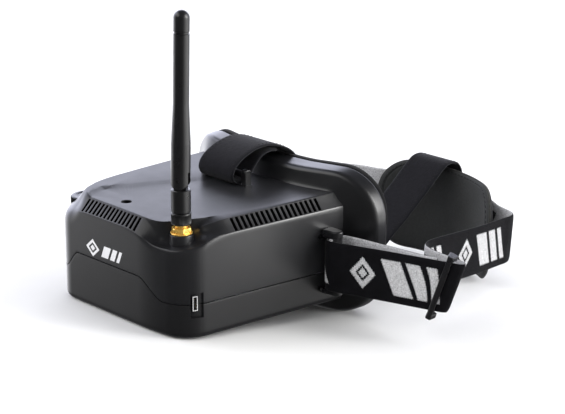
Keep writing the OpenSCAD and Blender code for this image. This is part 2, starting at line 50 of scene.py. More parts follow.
def mesh_obj(name, V, F, mats, mi=None, uv=None, smooth=True, sharp=None):
    me = bpy.data.meshes.new(name)
    me.from_pydata(to_m(V).tolist(), [], [tuple(int(i) for i in f) for f in F])
    for m in mats:
        me.materials.append(m)
    if mi is not None:
        me.polygons.foreach_set("material_index", np.asarray(mi, np.int32))
    if uv is not None:
        lay = me.uv_layers.new(name="UVMap")
        idx = np.empty(len(me.loops), np.int32)
        me.loops.foreach_get("vertex_index", idx)
        lay.data.foreach_set("uv", np.asarray(uv, np.float32)[idx].ravel())
    me.polygons.foreach_set("use_smooth", np.full(len(me.polygons), smooth))
    me.update()
    if sharp is not None:
        me.set_sharp_from_angle(angle=math.radians(sharp))
    o = bpy.data.objects.new(name, me)
    SC.collection.objects.link(o)
    return o


def bm_obj(name, bm, mats, smooth=True, sharp=None, normals=True):
    if normals:
        bmesh.ops.recalc_face_normals(bm, faces=bm.faces)
    for v in bm.verts:
        v.co = Vector((v.co.x * 0.001, (v.co.y - Y0) * 0.001, v.co.z * 0.001))
    me = bpy.data.meshes.new(name)
    bm.to_mesh(me)
    bm.free()
    for m in mats:
        me.materials.append(m)
    if smooth is not None:
        me.polygons.foreach_set("use_smooth", np.full(len(me.polygons), smooth))
    me.update()
    if sharp is not None:
        me.set_sharp_from_angle(angle=math.radians(sharp))
    o = bpy.data.objects.new(name, me)
    SC.collection.objects.link(o)
    return o


def grid_faces(nu, nv, cu=False, cv=False, base=0, flip=False):
    F = []
    for i in range(nu if cu else nu - 1):
        for j in range(nv if cv else nv - 1):
            a = base + i * nv + j
            b = base + ((i + 1) % nu) * nv + j
            c = base + ((i + 1) % nu) * nv + (j + 1) % nv
            d = base + i * nv + (j + 1) % nv
            F.append((a, d, c, b) if flip else (a, b, c, d))
    return F


def wn(o, weight=60):
    m = o.modifiers.new("normals", "WEIGHTED_NORMAL")
    m.keep_sharp = True
    m.weight = weight
    return o


def sstep(a, b, x):
    t = np.clip((np.asarray(x, float) - a) / (b - a), 0, 1)
    return t * t * (3 - 2 * t)


def ramp(a, b, x):
    t = np.clip((np.asarray(x, float) - a) / (b - a), 0, 1)
    return 0.45 * t * t * (3 - 2 * t) + 0.55 * t


def spline(P, step):
    """Points at equal steps on a smooth curve through P."""
    P = np.asarray(P, float)
    E = np.vstack([2 * P[0] - P[1], P, 2 * P[-1] - P[-2]])
    out = []
    for i in range(1, len(E) - 2):
        p0, p1, p2, p3 = E[i - 1], E[i], E[i + 1], E[i + 2]
        d = [max(np.linalg.norm(b - a), 1e-6) ** 0.5 for a, b in ((p0, p1), (p1, p2), (p2, p3))]
        t0, t1 = 0.0, d[0]
        t2 = t1 + d[1]
        t3 = t2 + d[2]
        for t in np.linspace(t1, t2, 24, endpoint=False):
            a1 = (t1 - t) / (t1 - t0) * p0 + (t - t0) / (t1 - t0) * p1
            a2 = (t2 - t) / (t2 - t1) * p1 + (t - t1) / (t2 - t1) * p2
            a3 = (t3 - t) / (t3 - t2) * p2 + (t - t2) / (t3 - t2) * p3
            b1 = (t2 - t) / (t2 - t0) * a1 + (t - t0) / (t2 - t0) * a2
            b2 = (t3 - t) / (t3 - t1) * a2 + (t - t1) / (t3 - t1) * a3
            out.append((t2 - t) / (t2 - t1) * b1 + (t - t1) / (t2 - t1) * b2)
    out.append(P[-1])
    out = np.array(out)
    s = np.r_[0, np.cumsum(np.linalg.norm(np.diff(out, axis=0), axis=1))]
    n = max(3, int(round(s[-1] / step)) + 1)
    q = np.linspace(0, s[-1], n)
    return np.stack([np.interp(q, s, out[:, k]) for k in range(out.shape[1])], 1)


def arc(cx, cy, r, a, b, n):
    t = np.radians(np.linspace(a, b, n + 1))
    return [(cx + r * math.cos(k), cy + r * math.sin(k)) for k in t]


def add_prism(bm, pts, ext, bev=0.5, seg=2):
    """Extruded outline with rounded edges."""
    vs = [bm.verts.new(Vector(p)) for p in pts]
    f = bm.faces.new(vs)
    r = bmesh.ops.extrude_face_region(bm, geom=[f])
    nv = [g for g in r["geom"] if isinstance(g, bmesh.types.BMVert)]
    bmesh.ops.translate(bm, verts=nv, vec=Vector(ext))
    fs = set()
    for v in vs + nv:
        fs.update(v.link_faces)
    bmesh.ops.recalc_face_normals(bm, faces=list(fs))
    if bev > 0:
        es = set()
        for v in vs + nv:
            es.update(v.link_edges)
        bmesh.ops.bevel(bm, geom=list(es), offset=bev, segments=seg, profile=0.5, affect="EDGES", clamp_overlap=True)


def add_box(bm, lo, hi, bev=0.5, seg=2):
    x0, y0, z0 = lo
    x1, y1, z1 = hi
    add_prism(bm, [(x0, y0, z0), (x1, y0, z0), (x1, y1, z0), (x0, y1, z0)], (0, 0, z1 - z0), bev, seg)


def add_rev(bm, rows, n=64, centre=(0, 0, 0), mat=None, cap=True):
    """Turned form: rows of (radius or function of the angle, height)."""
    M = mat if mat is not None else Matrix.Identity(3)
    c = Vector(centre)
    rings = []
    for r, z in rows:
        ring = []
        for k in range(n):
            t = 2 * math.pi * k / n
            rr = r(t) if callable(r) else r
            ring.append(bm.verts.new(c + M @ Vector((rr * math.cos(t), rr * math.sin(t), z))))
        rings.append(ring)
    for a, b in zip(rings[:-1], rings[1:]):
        for k in range(n):
            bm.faces.new((a[k], a[(k + 1) % n], b[(k + 1) % n], b[k]))
    if cap:
        bm.faces.new(list(reversed(rings[0])))
        bm.faces.new(rings[-1])
    return rings


def add_tube(bm, P, r, n=8, closed=False):
    """Round bead along points."""
    P = np.asarray(P, float)
    m = len(P)
    if closed:
        T = np.roll(P, -1, 0) - np.roll(P, 1, 0)
    else:
        T = np.gradient(P, axis=0)
    T /= np.linalg.norm(T, axis=1)[:, None] + 1e-12
    ref = np.array([0.0, 0.0, 1.0])
    rings = []
    u = np.cross(ref, T[0])
    if np.linalg.norm(u) < 1e-3:
        u = np.cross(np.array([1.0, 0, 0]), T[0])
    for i in range(m):
        u = u - T[i] * np.dot(u, T[i])
        u /= np.linalg.norm(u) + 1e-12
        w = np.cross(T[i], u)
        rr = r if np.isscalar(r) else r[i]
        rings.append([bm.verts.new(Vector(P[i] + rr * (math.cos(2 * math.pi * k / n) * u + math.sin(2 * math.pi * k / n) * w))) for k in range(n)])
    pairs = list(zip(rings[:-1], rings[1:])) + ([(rings[-1], rings[0])] if closed else [])
    for a, b in pairs:
        off = 0
        if closed and a is rings[-1]:
            d = [(Vector(b[k].co) - Vector(a[0].co)).length for k in range(n)]
            off = int(np.argmin(d))
        for k in range(n):
            bm.faces.new((a[k], a[(k + 1) % n], b[(k + 1 + off) % n], b[(k + off) % n]))
    if not closed:
        bm.faces.new(list(reversed(rings[0])))
        bm.faces.new(rings[-1])


def put(o, slot, *nodes, body="goggles"):
    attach(o, body)
    if nodes:
        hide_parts(*nodes)
    return o


# ------------------------------------------------------------------ materials
def new_mat(name):
    m = bpy.data.materials.new(name)
    m.use_nodes = True
    nt = m.node_tree
    return m, nt, nt.nodes["Principled BSDF"]


def nd(nt, kind, props=None, **ins):
    n = nt.nodes.new(kind)
    for k, v in (props or {}).items():
        setattr(n, k, v)
    for k, v in ins.items():
        key = int(k[1:]) if k[0] == "i" and k[1:].isdigit() else k.replace("_", " ")
        s = n.inputs[key]
        if isinstance(v, bpy.types.NodeSocket):
            nt.links.new(v, s)
        else:
            s.default_value = v
    return n


def math_n(nt, op, a, b=None, c=None):
    n = nt.nodes.new("ShaderNodeMath")
    n.operation = op
    for i, v in enumerate((a, b, c)):
        if v is None:
            continue
        if isinstance(v, bpy.types.NodeSocket):
            nt.links.new(v, n.inputs[i])
        else:
            n.inputs[i].default_value = v
    return n.outputs[0]


def mixc(nt, fac, a, b):
    n = nt.nodes.new("ShaderNodeMix")
    n.data_type = "RGBA"
    for key, v in ((0, fac), (6, a), (7, b)):
        if isinstance(v, bpy.types.NodeSocket):
            nt.links.new(v, n.inputs[key])
        else:
            n.inputs[key].default_value = v
    return n.outputs[2]


def rng(nt, v, a, b, lo=0.3, hi=0.7):
    n = nd(nt, "ShaderNodeMapRange", None, i1=lo, i2=hi, i3=a, i4=b)
    nt.links.new(v, n.inputs[0])
    return n.outputs[0]


def rgba(c, k=1.0):
    return (c[0] * k, c[1] * k, c[2] * k, 1.0)


def obj_noise(nt, scale, detail=3.0, rough=0.55):
    tc = nt.nodes.get("tc") or nt.nodes.new("ShaderNodeTexCoord")
    tc.name = "tc"
    n = nd(nt, "ShaderNodeTexNoise", None, Scale=scale, Detail=detail, Roughness=rough)
    nt.links.new(tc.outputs["Object"], n.inputs["Vector"])
    return n.outputs["Fac"]


def set_bump(nt, bsdf, height, strength, dist):
    b = nd(nt, "ShaderNodeBump", None, Strength=strength, Distance=dist)
    nt.links.new(height, b.inputs["Height"])
    nt.links.new(b.outputs["Normal"], bsdf.inputs["Normal"])


def plastic(name, col, rough, spec=0.5, grain=1900.0, bump=0.10, var=0.16, rv=0.05, dust=0.0, low=None, mark=None, top=None):
    """Moulded plastic: fine spark-eroded grain, slight tone and gloss variation; with low set, the specular level is
    painted by position as shade and reflection.
    """
    m, nt, b = new_mat(name)
    blot = obj_noise(nt, 38.0, 3.0)
    fine = obj_noise(nt, grain, 2.0)
    c = mixc(nt, rng(nt, blot, 0.0, 1.0), rgba(col, 1 - var), rgba(col, 1 + var))
    if dust > 0:
        d = obj_noise(nt, 5200.0, 0.0)
        c = mixc(nt, rng(nt, d, 0.0, dust, 0.70, 0.78), c, (0.28, 0.28, 0.29, 1))
    pos = nd(nt, "ShaderNodeSeparateXYZ")
    nt.links.new(nt.nodes["tc"].outputs["Object"], pos.inputs[0])
    if mark is not None:
        c = mixc(nt, mark(nt, pos.outputs[0], pos.outputs[1], pos.outputs[2]), c, (0.66, 0.66, 0.67, 1))
    nt.links.new(c, b.inputs["Base Color"])
    if top is None:
        nt.links.new(rng(nt, obj_noise(nt, 120.0, 4.0), rough - rv, rough + rv), b.inputs["Roughness"])
    else:
        # the top field has a coarser moulded finish than the walls
        nt.links.new(math_n(nt, "ADD", rng(nt, obj_noise(nt, 120.0, 4.0), -rv, rv), rng(nt, pos.outputs[2], rough, top, 0.0535, 0.0568)), b.inputs["Roughness"])
    b.inputs["Specular IOR Level"].default_value = spec
    if low is not None:
        # painted shade: specular level falls from the front left towards the front right corner and rises again on the
        # right wall
        painted_shade_gloss = math_n(nt, "ADD", rng(nt, pos.outputs[0], 1.15, 0.70, -0.036, 0.024), rng(nt, pos.outputs[0], 0.0, 0.30, 0.036, 0.046))
        # painted reflection: the right wall's specular level rises towards the rear, brightening its reflection there
        painted_rear_gloss = math_n(nt, "MULTIPLY", rng(nt, pos.outputs[1], 0.0, 1.0, -0.03, 0.025), rng(nt, pos.outputs[0], 0.0, 1.0, 0.044, 0.049))
        painted_shade_gloss = math_n(nt, "ADD", painted_shade_gloss, math_n(nt, "MULTIPLY", painted_rear_gloss, rng(nt, pos.outputs[2], 0.0, 1.0, 0.022, 0.046)))
        # painted shade: specular level falls towards the bottom, standing in for the floor's contact shadow seen in
        # reflections
        nt.links.new(math_n(nt, "MULTIPLY", rng(nt, pos.outputs[2], low, spec, 0.002, 0.048), painted_shade_gloss), b.inputs["Specular IOR Level"])
    set_bump(nt, b, fine, bump, 0.0004)
    return m


def face_mark(nt, x, y, z):
    """Printed mark on the front face: a lozenge ring and three slanted bars."""
    u = math_n(nt, "MULTIPLY", x, 1000.0)
    v = math_n(nt, "SUBTRACT", math_n(nt, "MULTIPLY", z, 1000.0), 33.6)

    def band(q, a, b):
        return math_n(nt, "MULTIPLY", math_n(nt, "GREATER_THAN", q, a), math_n(nt, "LESS_THAN", q, b))
    loz = math_n(nt, "ADD", math_n(nt, "DIVIDE", math_n(nt, "ABSOLUTE", math_n(nt, "ADD", u, 18.6)), 5.6), math_n(nt, "DIVIDE", math_n(nt, "ABSOLUTE", v), 4.7))
    f = math_n(nt, "SUBTRACT", band(loz, -1.0, 1.0), band(loz, 0.36, 0.62))
    q = math_n(nt, "MULTIPLY_ADD", v, -0.45, u)
    tall = band(v, -3.1, 3.1)
    for a, b in ((-10.2, -4.6), (-2.9, 0.7), (2.4, 4.6)):
        f = math_n(nt, "ADD", f, math_n(nt, "MULTIPLY", band(q, a, b), tall))
    return math_n(nt, "MULTIPLY", f, math_n(nt, "LESS_THAN", y, -0.0438))


def metal(name, col, rough, scratch=900.0, bump=0.05, metallic=1.0):
    m, nt, b = new_mat(name)
    n = obj_noise(nt, scratch, 4.0)
    nt.links.new(mixc(nt, rng(nt, n, 0, 1), rgba(col, 0.82), rgba(col, 1.08)), b.inputs["Base Color"])
    nt.links.new(rng(nt, obj_noise(nt, 300.0, 3.0), rough * 0.7, rough * 1.4), b.inputs["Roughness"])
    b.inputs["Metallic"].default_value = metallic
    set_bump(nt, b, n, bump, 0.0002)
    return m


def fabric(name, col, rough=0.9, sheen=0.3, weave=0.9, across=0.55, bump=0.5, motif=None, alt=None, tone=0.22):
    """Woven band: ribs along and across from the strip's own coordinates (millimetres)."""
    m, nt, b = new_mat(name)
    uv = nd(nt, "ShaderNodeUVMap").outputs["UV"]
    sep = nd(nt, "ShaderNodeSeparateXYZ")
    nt.links.new(uv, sep.inputs[0])
    u, v = sep.outputs[0], sep.outputs[1]
    k = 2 * math.pi
    w1 = math_n(nt, "SINE", math_n(nt, "MULTIPLY", u, k / weave))
    w2 = math_n(nt, "SINE", math_n(nt, "MULTIPLY", v, k / across))
    cross = math_n(nt, "MULTIPLY", w1, w2)
    ribs = math_n(nt, "ADD", math_n(nt, "MULTIPLY", w2, 0.45), cross)
    h = math_n(nt, "MULTIPLY_ADD", ribs, 0.25, 0.5)
    blot = obj_noise(nt, 160.0, 4.0)
    base = mixc(nt, rng(nt, blot, 0, 1), rgba(col, 1 - tone), rgba(col, 1 + tone))
    if motif is not None:
        # knitted edges of the pattern wander by a stitch or so
        uu = math_n(nt, "ADD", math_n(nt, "MULTIPLY_ADD", math_n(nt, "SINE", math_n(nt, "MULTIPLY", v, 7.0)), 0.26, u),
                    math_n(nt, "MULTIPLY", math_n(nt, "SINE", math_n(nt, "MULTIPLY_ADD", v, 12.7, math_n(nt, "MULTIPLY", u, 2.1))), 0.2))
        vv = math_n(nt, "ADD", math_n(nt, "MULTIPLY_ADD", math_n(nt, "SINE", math_n(nt, "MULTIPLY", u, 5.7)), 0.24, v),
                    math_n(nt, "MULTIPLY", math_n(nt, "SINE", math_n(nt, "MULTIPLY_ADD", u, 10.9, math_n(nt, "MULTIPLY", v, 1.7))), 0.2))
        f = motif(nt, uu, vv)
        second = mixc(nt, rng(nt, obj_noise(nt, 1500.0, 2.0), 0, 1), rgba(alt, 0.55), rgba(alt, 1.22))
        base = mixc(nt, f, base, second)
    shade = mixc(nt, math_n(nt, "MULTIPLY", h, 0.55), base, (0.0, 0.0, 0.0, 1))
    nt.links.new(mixc(nt, 0.55, base, shade), b.inputs["Base Color"])
    b.inputs["Roughness"].default_value = rough
    b.inputs["Sheen Weight"].default_value = sheen
    b.inputs["Sheen Roughness"].default_value = 0.4
    b.inputs["Specular IOR Level"].default_value = 0.08
    fuzz = obj_noise(nt, 3000.0, 2.0)
    set_bump(nt, b, math_n(nt, "ADD", h, math_n(nt, "MULTIPLY", fuzz, 0.5)), bump, 0.0004)
    return m


def felt(name, col, sheen=0.4, scale=2400.0, bump=0.7, rough=0.95, tone=0.3):
    """Knitted, napped or foamed surface without a direction."""
    m, nt, b = new_mat(name)
    n1 = obj_noise(nt, scale, 3.0)
    n2 = obj_noise(nt, scale * 0.23, 4.0)
    mixn = math_n(nt, "MULTIPLY_ADD", n2, 0.6, math_n(nt, "MULTIPLY", n1, 0.5))
    nt.links.new(mixc(nt, rng(nt, mixn, 0, 1, 0.35, 0.75), rgba(col, 1 - tone), rgba(col, 1 + tone)), b.inputs["Base Color"])
    b.inputs["Roughness"].default_value = rough
    b.inputs["Sheen Weight"].default_value = sheen
    b.inputs["Sheen Roughness"].default_value = 0.45
    b.inputs["Specular IOR Level"].default_value = 0.2
    set_bump(nt, b, mixn, bump, 0.0006)
    return m


def motif_bars(nt, u, v):
    """Slanted bars of falling width and a lozenge, repeated along the band."""
    q = math_n(nt, "MULTIPLY_ADD", v, 0.42, u)
    mm = math_n(nt, "MODULO", math_n(nt, "ADD", q, 1000.0 * 0 + 23.0), 66.0)

    def band(x, a, b):
        return math_n(nt, "MULTIPLY", math_n(nt, "GREATER_THAN", x, a), math_n(nt, "LESS_THAN", x, b))
    tall = band(v, 4.4, 22.6)
    bars = None
    for a, b in ((2.0, 13.0), (16.0, 23.4), (26.4, 30.9)):
        s = band(mm, a, b)
        bars = s if bars is None else math_n(nt, "ADD", bars, s)
    bars = math_n(nt, "MULTIPLY", bars, tall)
    m2 = math_n(nt, "MODULO", math_n(nt, "ADD", u, 23.0 + 5.6), 66.0)
    loz = math_n(nt, "ADD", math_n(nt, "DIVIDE", math_n(nt, "ABSOLUTE", math_n(nt, "SUBTRACT", m2, 54.0)), 7.2),
                 math_n(nt, "DIVIDE", math_n(nt, "ABSOLUTE", math_n(nt, "SUBTRACT", v, 13.5)), 8.4))
    ring = band(loz, 0.0, 1.0)
    hole = band(loz, 0.34, 0.56)
    loz = math_n(nt, "SUBTRACT", ring, hole)
    return math_n(nt, "MINIMUM", math_n(nt, "ADD", bars, loz), 1.0)


def motif_inverse(nt, u, v):
    f = motif_bars(nt, u, v)
    return math_n(nt, "SUBTRACT", 1.0, f)


# low=0.2: painted shade and reflection in the specular level, see plastic()
M_SHELL = plastic("shell_upper_plastic", (0.0105, 0.0106, 0.0118), 0.29, 0.36, bump=0.04, var=0.10, rv=0.015, low=0.2, mark=face_mark, top=0.42)
M_LOWER = plastic("shell_lower_plastic", (0.0095, 0.0095, 0.0103), 0.31, 0.36, bump=0.04, var=0.10, rv=0.015, low=0.2)
# painted shade: a near-black, rough material stands in for the shade inside the vent slots and at the bottom of the
# screw recesses
M_PAINTED_SHADE = plastic("painted_shade_recess", (0.0015, 0.0015, 0.0016), 0.8, 0.1)
M_FLANGE = plastic("flange_plastic", (0.0080, 0.0081, 0.0090), 0.29, 0.40, bump=0.04, var=0.10, rv=0.015)
M_INNER = plastic("inner_plastic", (0.007, 0.007, 0.0075), 0.7, 0.3, grain=1500.0, bump=0.25)
M_FITTING = plastic("fitting_plastic", (0.0075, 0.0075, 0.0085), 0.30, 0.5)
M_CONTROL = plastic("control_plastic", (0.012, 0.012, 0.013), 0.30, 0.3)
M_ANT = plastic("antenna_rubber", (0.0052, 0.0052, 0.0058), 0.31, 0.5, grain=2600.0, bump=0.10)
M_SCREW = metal("screw_steel", (0.10, 0.10, 0.105), 0.35)
M_GOLD = metal("gold_plating", (0.92, 0.57, 0.13), 0.27, metallic=0.7)
M_TIN = metal("tin_plating", (0.72, 0.72, 0.73), 0.25)
M_FOIL = metal("cell_foil", (0.5, 0.52, 0.55), 0.35, scratch=200.0, bump=0.2)
M_FOAM = felt("face_foam", (0.0045, 0.0045, 0.005), sheen=0.08, scale=1700.0, bump=0.9)
M_TOP = felt("top_strap_knit", (0.0068, 0.0067, 0.0088), sheen=0.05, scale=2100.0, bump=0.55)
M_TOPEDGE = fabric("strap_binding", (0.022, 0.022, 0.025), sheen=0.2)
M_PAD = felt("pad_panel", (0.026, 0.027, 0.027), sheen=0.05, scale=3200.0, bump=0.25, rough=0.75, tone=0.18)
M_PADBACK = felt("pad_back_knit", (0.009, 0.009, 0.0095), sheen=0.12, scale=1800.0, bump=0.7)
M_PIPE = felt("pad_piping", (0.030, 0.030, 0.028), sheen=0.15, scale=2600.0, bump=0.4)
M_THREAD = fabric("thread", (0.014, 0.014, 0.015), sheen=0.15)
M_BAND = fabric("band_face", (0.0056, 0.0055, 0.0068), sheen=0.04, motif=motif_bars, alt=(0.62, 0.62, 0.63))
M_BANDIN = fabric("band_inner_face", (0.0125, 0.0125, 0.0135), sheen=0.1, motif=motif_inverse, alt=(0.56, 0.56, 0.58), tone=0.3)
M_BANDEDGE = fabric("band_edge", (0.009, 0.009, 0.010), sheen=0.1)
M_BOARD = plastic("board_lacquer", (0.012, 0.075, 0.03), 0.3, 0.5, grain=700.0)
M_FLEX = plastic("flex_film", (0.42, 0.20, 0.04), 0.25, 0.5, grain=500.0)
M_DISPLAY = plastic("display_face", (0.006, 0.007, 0.012), 0.12, 0.5, grain=300.0, bump=0.02)
M_CABLE = plastic("cable_sleeve", (0.012, 0.012, 0.012), 0.5, 0.4)

M_LENS, _nt, _b = new_mat("lens_acrylic")
_b.inputs["Base Color"].default_value = (0.95, 0.97, 1.0, 1)
_b.inputs["Transmission Weight"].default_value = 1.0
_b.inputs["IOR"].default_value = 1.49
_b.inputs["Specular IOR Level"].default_value = 0.5
_nt.links.new(rng(_nt, obj_noise(_nt, 90.0, 4.0), 0.02, 0.09), _b.inputs["Roughness"])

CAD_MATS = {
    "light_shroud": M_INNER, "lens_frame": M_INNER, "lcd_panel": M_DISPLAY, "lcd_bracket": M_INNER, "lcd_ribbon": M_FLEX,
    "main_board": M_BOARD, "receiver_module": M_TIN, "battery": M_FOIL, "charge_board": M_BOARD, "usb_port": M_TIN,
    "coax_pigtail": M_CABLE, "jog_encoder": M_CONTROL, "top_screw": M_SCREW, "sma_jack": M_GOLD, "antenna_collar": M_ANT,
    "antenna_pin": M_SCREW, "antenna_whip": M_ANT, "antenna_cap": M_ANT, "antenna_radiator": M_GOLD, "anchor_screws": M_SCREW,
    "housing_screws": M_SCREW, "flange_screws": M_SCREW, "board_screws": M_SCREW, "staple_screws": M_SCREW,
}
for node, mat in CAD_MATS.items():
    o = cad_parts[node]
    if not o.material_slots:
        o.data.materials.append(mat)
    for s in o.material_slots:
        s.material = mat

# ------------------------------------------------------------------ shell outline
FL = math.radians(3.9)
RC = 14.0
CCX = 51 + RC * math.tan(FL) - RC / math.cos(FL)
ARC = RC * (math.pi / 2 - FL)
LS = CCX + ARC                      # where the straight side starts
YS = RC - RC * math.sin(FL)
LE = LS + (104.6 - YS) / math.cos(FL)  # rear end


EB = math.radians(9.0)              # eased bend before the right corner
EX = 18.0
ER = (CCX - EX) / math.tan(EB)
EY = (CCX - EX) ** 2 / (2 * ER)
E2 = (math.cos(FL) * (51 - CCX) + math.sin(FL) * EY) / (1 - math.sin(EB + FL))
ECX, ECY = CCX - E2 * math.sin(EB), EY + E2 * math.cos(EB)
LC = LS + (ECY - E2 * math.sin(FL) - YS) / math.cos(FL)


def outline(L, inset=0.0):
    s = 1.0 if L >= 0 else -1.0
    a = abs(L)
    if EX < L <= CCX:
        g = (L - EX) / ER
        k = math.hypot(1, g)
        n = np.array((g / k, -1 / k))
        return np.array((L, (L - EX) ** 2 / (2 * ER))) - n * inset, n
    if CCX < L <= LC:
        t = EB + (math.pi / 2 - FL - EB) * (L - CCX) / (LC - CCX)
        n = np.array((math.sin(t), -math.cos(t)))
        return np.array((ECX, ECY)) + n * (E2 - inset), n
    r = RC - inset
    if a <= CCX:
        p, n = (a, inset), (0.0, -1.0)
    elif a <= LS:
        t = (a - CCX) / RC
        n = (math.sin(t), -math.cos(t))
        p = (CCX + r * n[0], RC + r * n[1])
    else:
        t = a - LS
        n = (math.cos(FL), -math.sin(FL))
        p = (CCX + r * n[0] + t * math.sin(FL), RC + r * n[1] + t * math.cos(FL))
    return np.array((s * p[0], p[1])), np.array((s * n[0], n[1]))


def side_L(y):
    return LS + (y - YS) / math.cos(FL)


def parting(L):
    """Height of the parting line along the outline."""
    z = 18.3 + 9.4 * (ramp(-42.0, -32.5, L) - ramp(19.4, 35.4, L))
    return float(z)


# top edge of the band and crease height along the outline
CL = np.array([-150, -side_L(24), -side_L(19), -side_L(14), -56, -51, -46, -41, -36, -32, -28.5, -24,
               9, 15.2, 22.3, 28.3, 33, 38.3, 44, 51, side_L(13.1), side_L(19.3), side_L(27.9), side_L(35), 150])
CZ = np.array([51.6, 51.5, 50.8, 49.0, 47.3, 46.1, 45.8, 46.2, 47.7, 49.4, 50.5, 50.9,
               51.0, 50.2, 48.6, 46.8, 46.2, 46.1, 46.3, 46.9, 48.0, 50.2, 51.4, 51.6, 51.6])
BL = np.array([-side_L(104.6), -side_L(75), -side_L(57), -side_L(36), -side_L(28), -side_L(20), -LS, -54, -48, -42, -36, -30, -24,
               2, 9, 16.3, 22, 28, 33, 37.9, 43.2, 48.4, 53.7, side_L(13.5), side_L(20), side_L(30), side_L(40), side_L(57), side_L(75), side_L(98), side_L(104.6)])
BX = np.array([-53.8, -51.9, -50.6, -48.8, -47.6, -45.6, -43.6, -42.2, -40.6, -38.6, -35.2, -30.2, -24,
               2, 9, 16.3, 22, 27.3, 29.8, 31.4, 32.6, 34.1, 36.1, 38.2, 40.1, 42.3, 43.9, 46.9, 49.4, 51.4, 52.0])
BY = np.array([104.6, 75, 57.5, 38, 31, 24.5, 19.4, 16.6, 14.0, 11.6, 9.2, 7.6, 7.0,
               7.0, 6.6, 6.0, 5.7, 6.5, 8.2, 10.4, 12.2, 14.2, 16.7, 19.6, 24, 31.8, 40.8, 57.4, 75, 98, 104.6])


def smooth_interp(x, xs, ys, w=1.6):
    return float(np.mean([np.interp(x + d, xs, ys) for d in np.linspace(-w, w, 7)]))


def crease(L):
    return smooth_interp(L, CL, CZ, 2.6)


def scoop(L):
    return float(sstep(16.5, 31, L) * (1 - sstep(side_L(12), side_L(33), L)))


def soft_corner(L):
    return float((1 - sstep(-37, -28.6, L)) * sstep(-side_L(30), -LS, L))


def top_edge(L):
    if abs(L) > LE - 1.7:
        return np.array((np.interp(L, BL, BX), np.interp(L, BL, BY)))
    return np.array((smooth_interp(L, BL, BX), smooth_interp(L, BL, BY)))


RUN = 4.0
DEP = 0.9


def riser(p):
    """How far inside the lowered front field of the top a point lies."""
    x, y = p
    da = (x + 37.5) * 0.917 - (y - 21.8) * 0.398
    db = -(x - 20.9) * 0.815 - (y - 33.2) * 0.578
    dc = (x + 34.5) * 0.929 + (y - 14.3) * 0.371 + 1.0
    return min(da, db, dc)


def top_z(p):
    return 58.15 - DEP * min(1.0, max(0.0, riser(p) / RUN))


# slots of the vent band: centre along the outline and half width
SLOTS = [(-27.6 + 42.8 * k / 14, 0.80) for k in range(15)]
for k in range(18):
    SLOTS += [(side_L(35.8 + 53.8 * k / 17), 0.82), (-side_L(35.8 + 53.8 * k / 17), 0.82)]
USB_L = CCX + (LC - CCX) * (math.radians(66.6) - EB) / (math.pi / 2 - FL - EB)
WHEEL_L = -side_L(20.6)


def u_lines():
    us = set(np.round(np.concatenate([np.arange(-LE, LE, 1.7), np.arange(8, side_L(36), 0.85), np.arange(-LS, -CCX, 1.0), [LE]]), 3))
    keep = []
    for c, h in SLOTS:
        keep += [c - h - 0.22, c - h, c - h + 0.16, c + h - 0.16, c + h, c + h + 0.22]
    for c, h in ((USB_L, 3.75), (WHEEL_L, 8.6)):
        keep += [c - h - 0.3, c - h, c - h + 0.2, c + h - 0.2, c + h, c + h + 0.3]
    keep += [-LE, LE]
    keep = sorted(keep)
    base = [u for u in us if min(abs(u - k) for k in keep) > 0.5]
    return np.array(sorted(base + keep))


US = u_lines()


def in_slot(L):
    """0 outside, 1 at the rounded edge, 2 inside a slot."""
    for c, h in SLOTS:
        d = abs(L - c)
        if d <= h - 0.1:
            return 2
        if d <= h + 0.02:
            return 1
    return 0


def usb_depth(L, z):
    d = max(abs(L - USB_L) - 3.75, abs(z - 17.8) - 6.5)
    return 1.5 * float(np.clip(-d / 0.2, 0, 1)) if d < 0 else 0.0


def wheel_depth(L, z):
    d = max(abs(L - WHEEL_L) - 8.6, abs(z - 48.9) - 2.75)
    return 3.6 * float(np.clip(-d / 0.2, 0, 1)) if d < 0 else 0.0


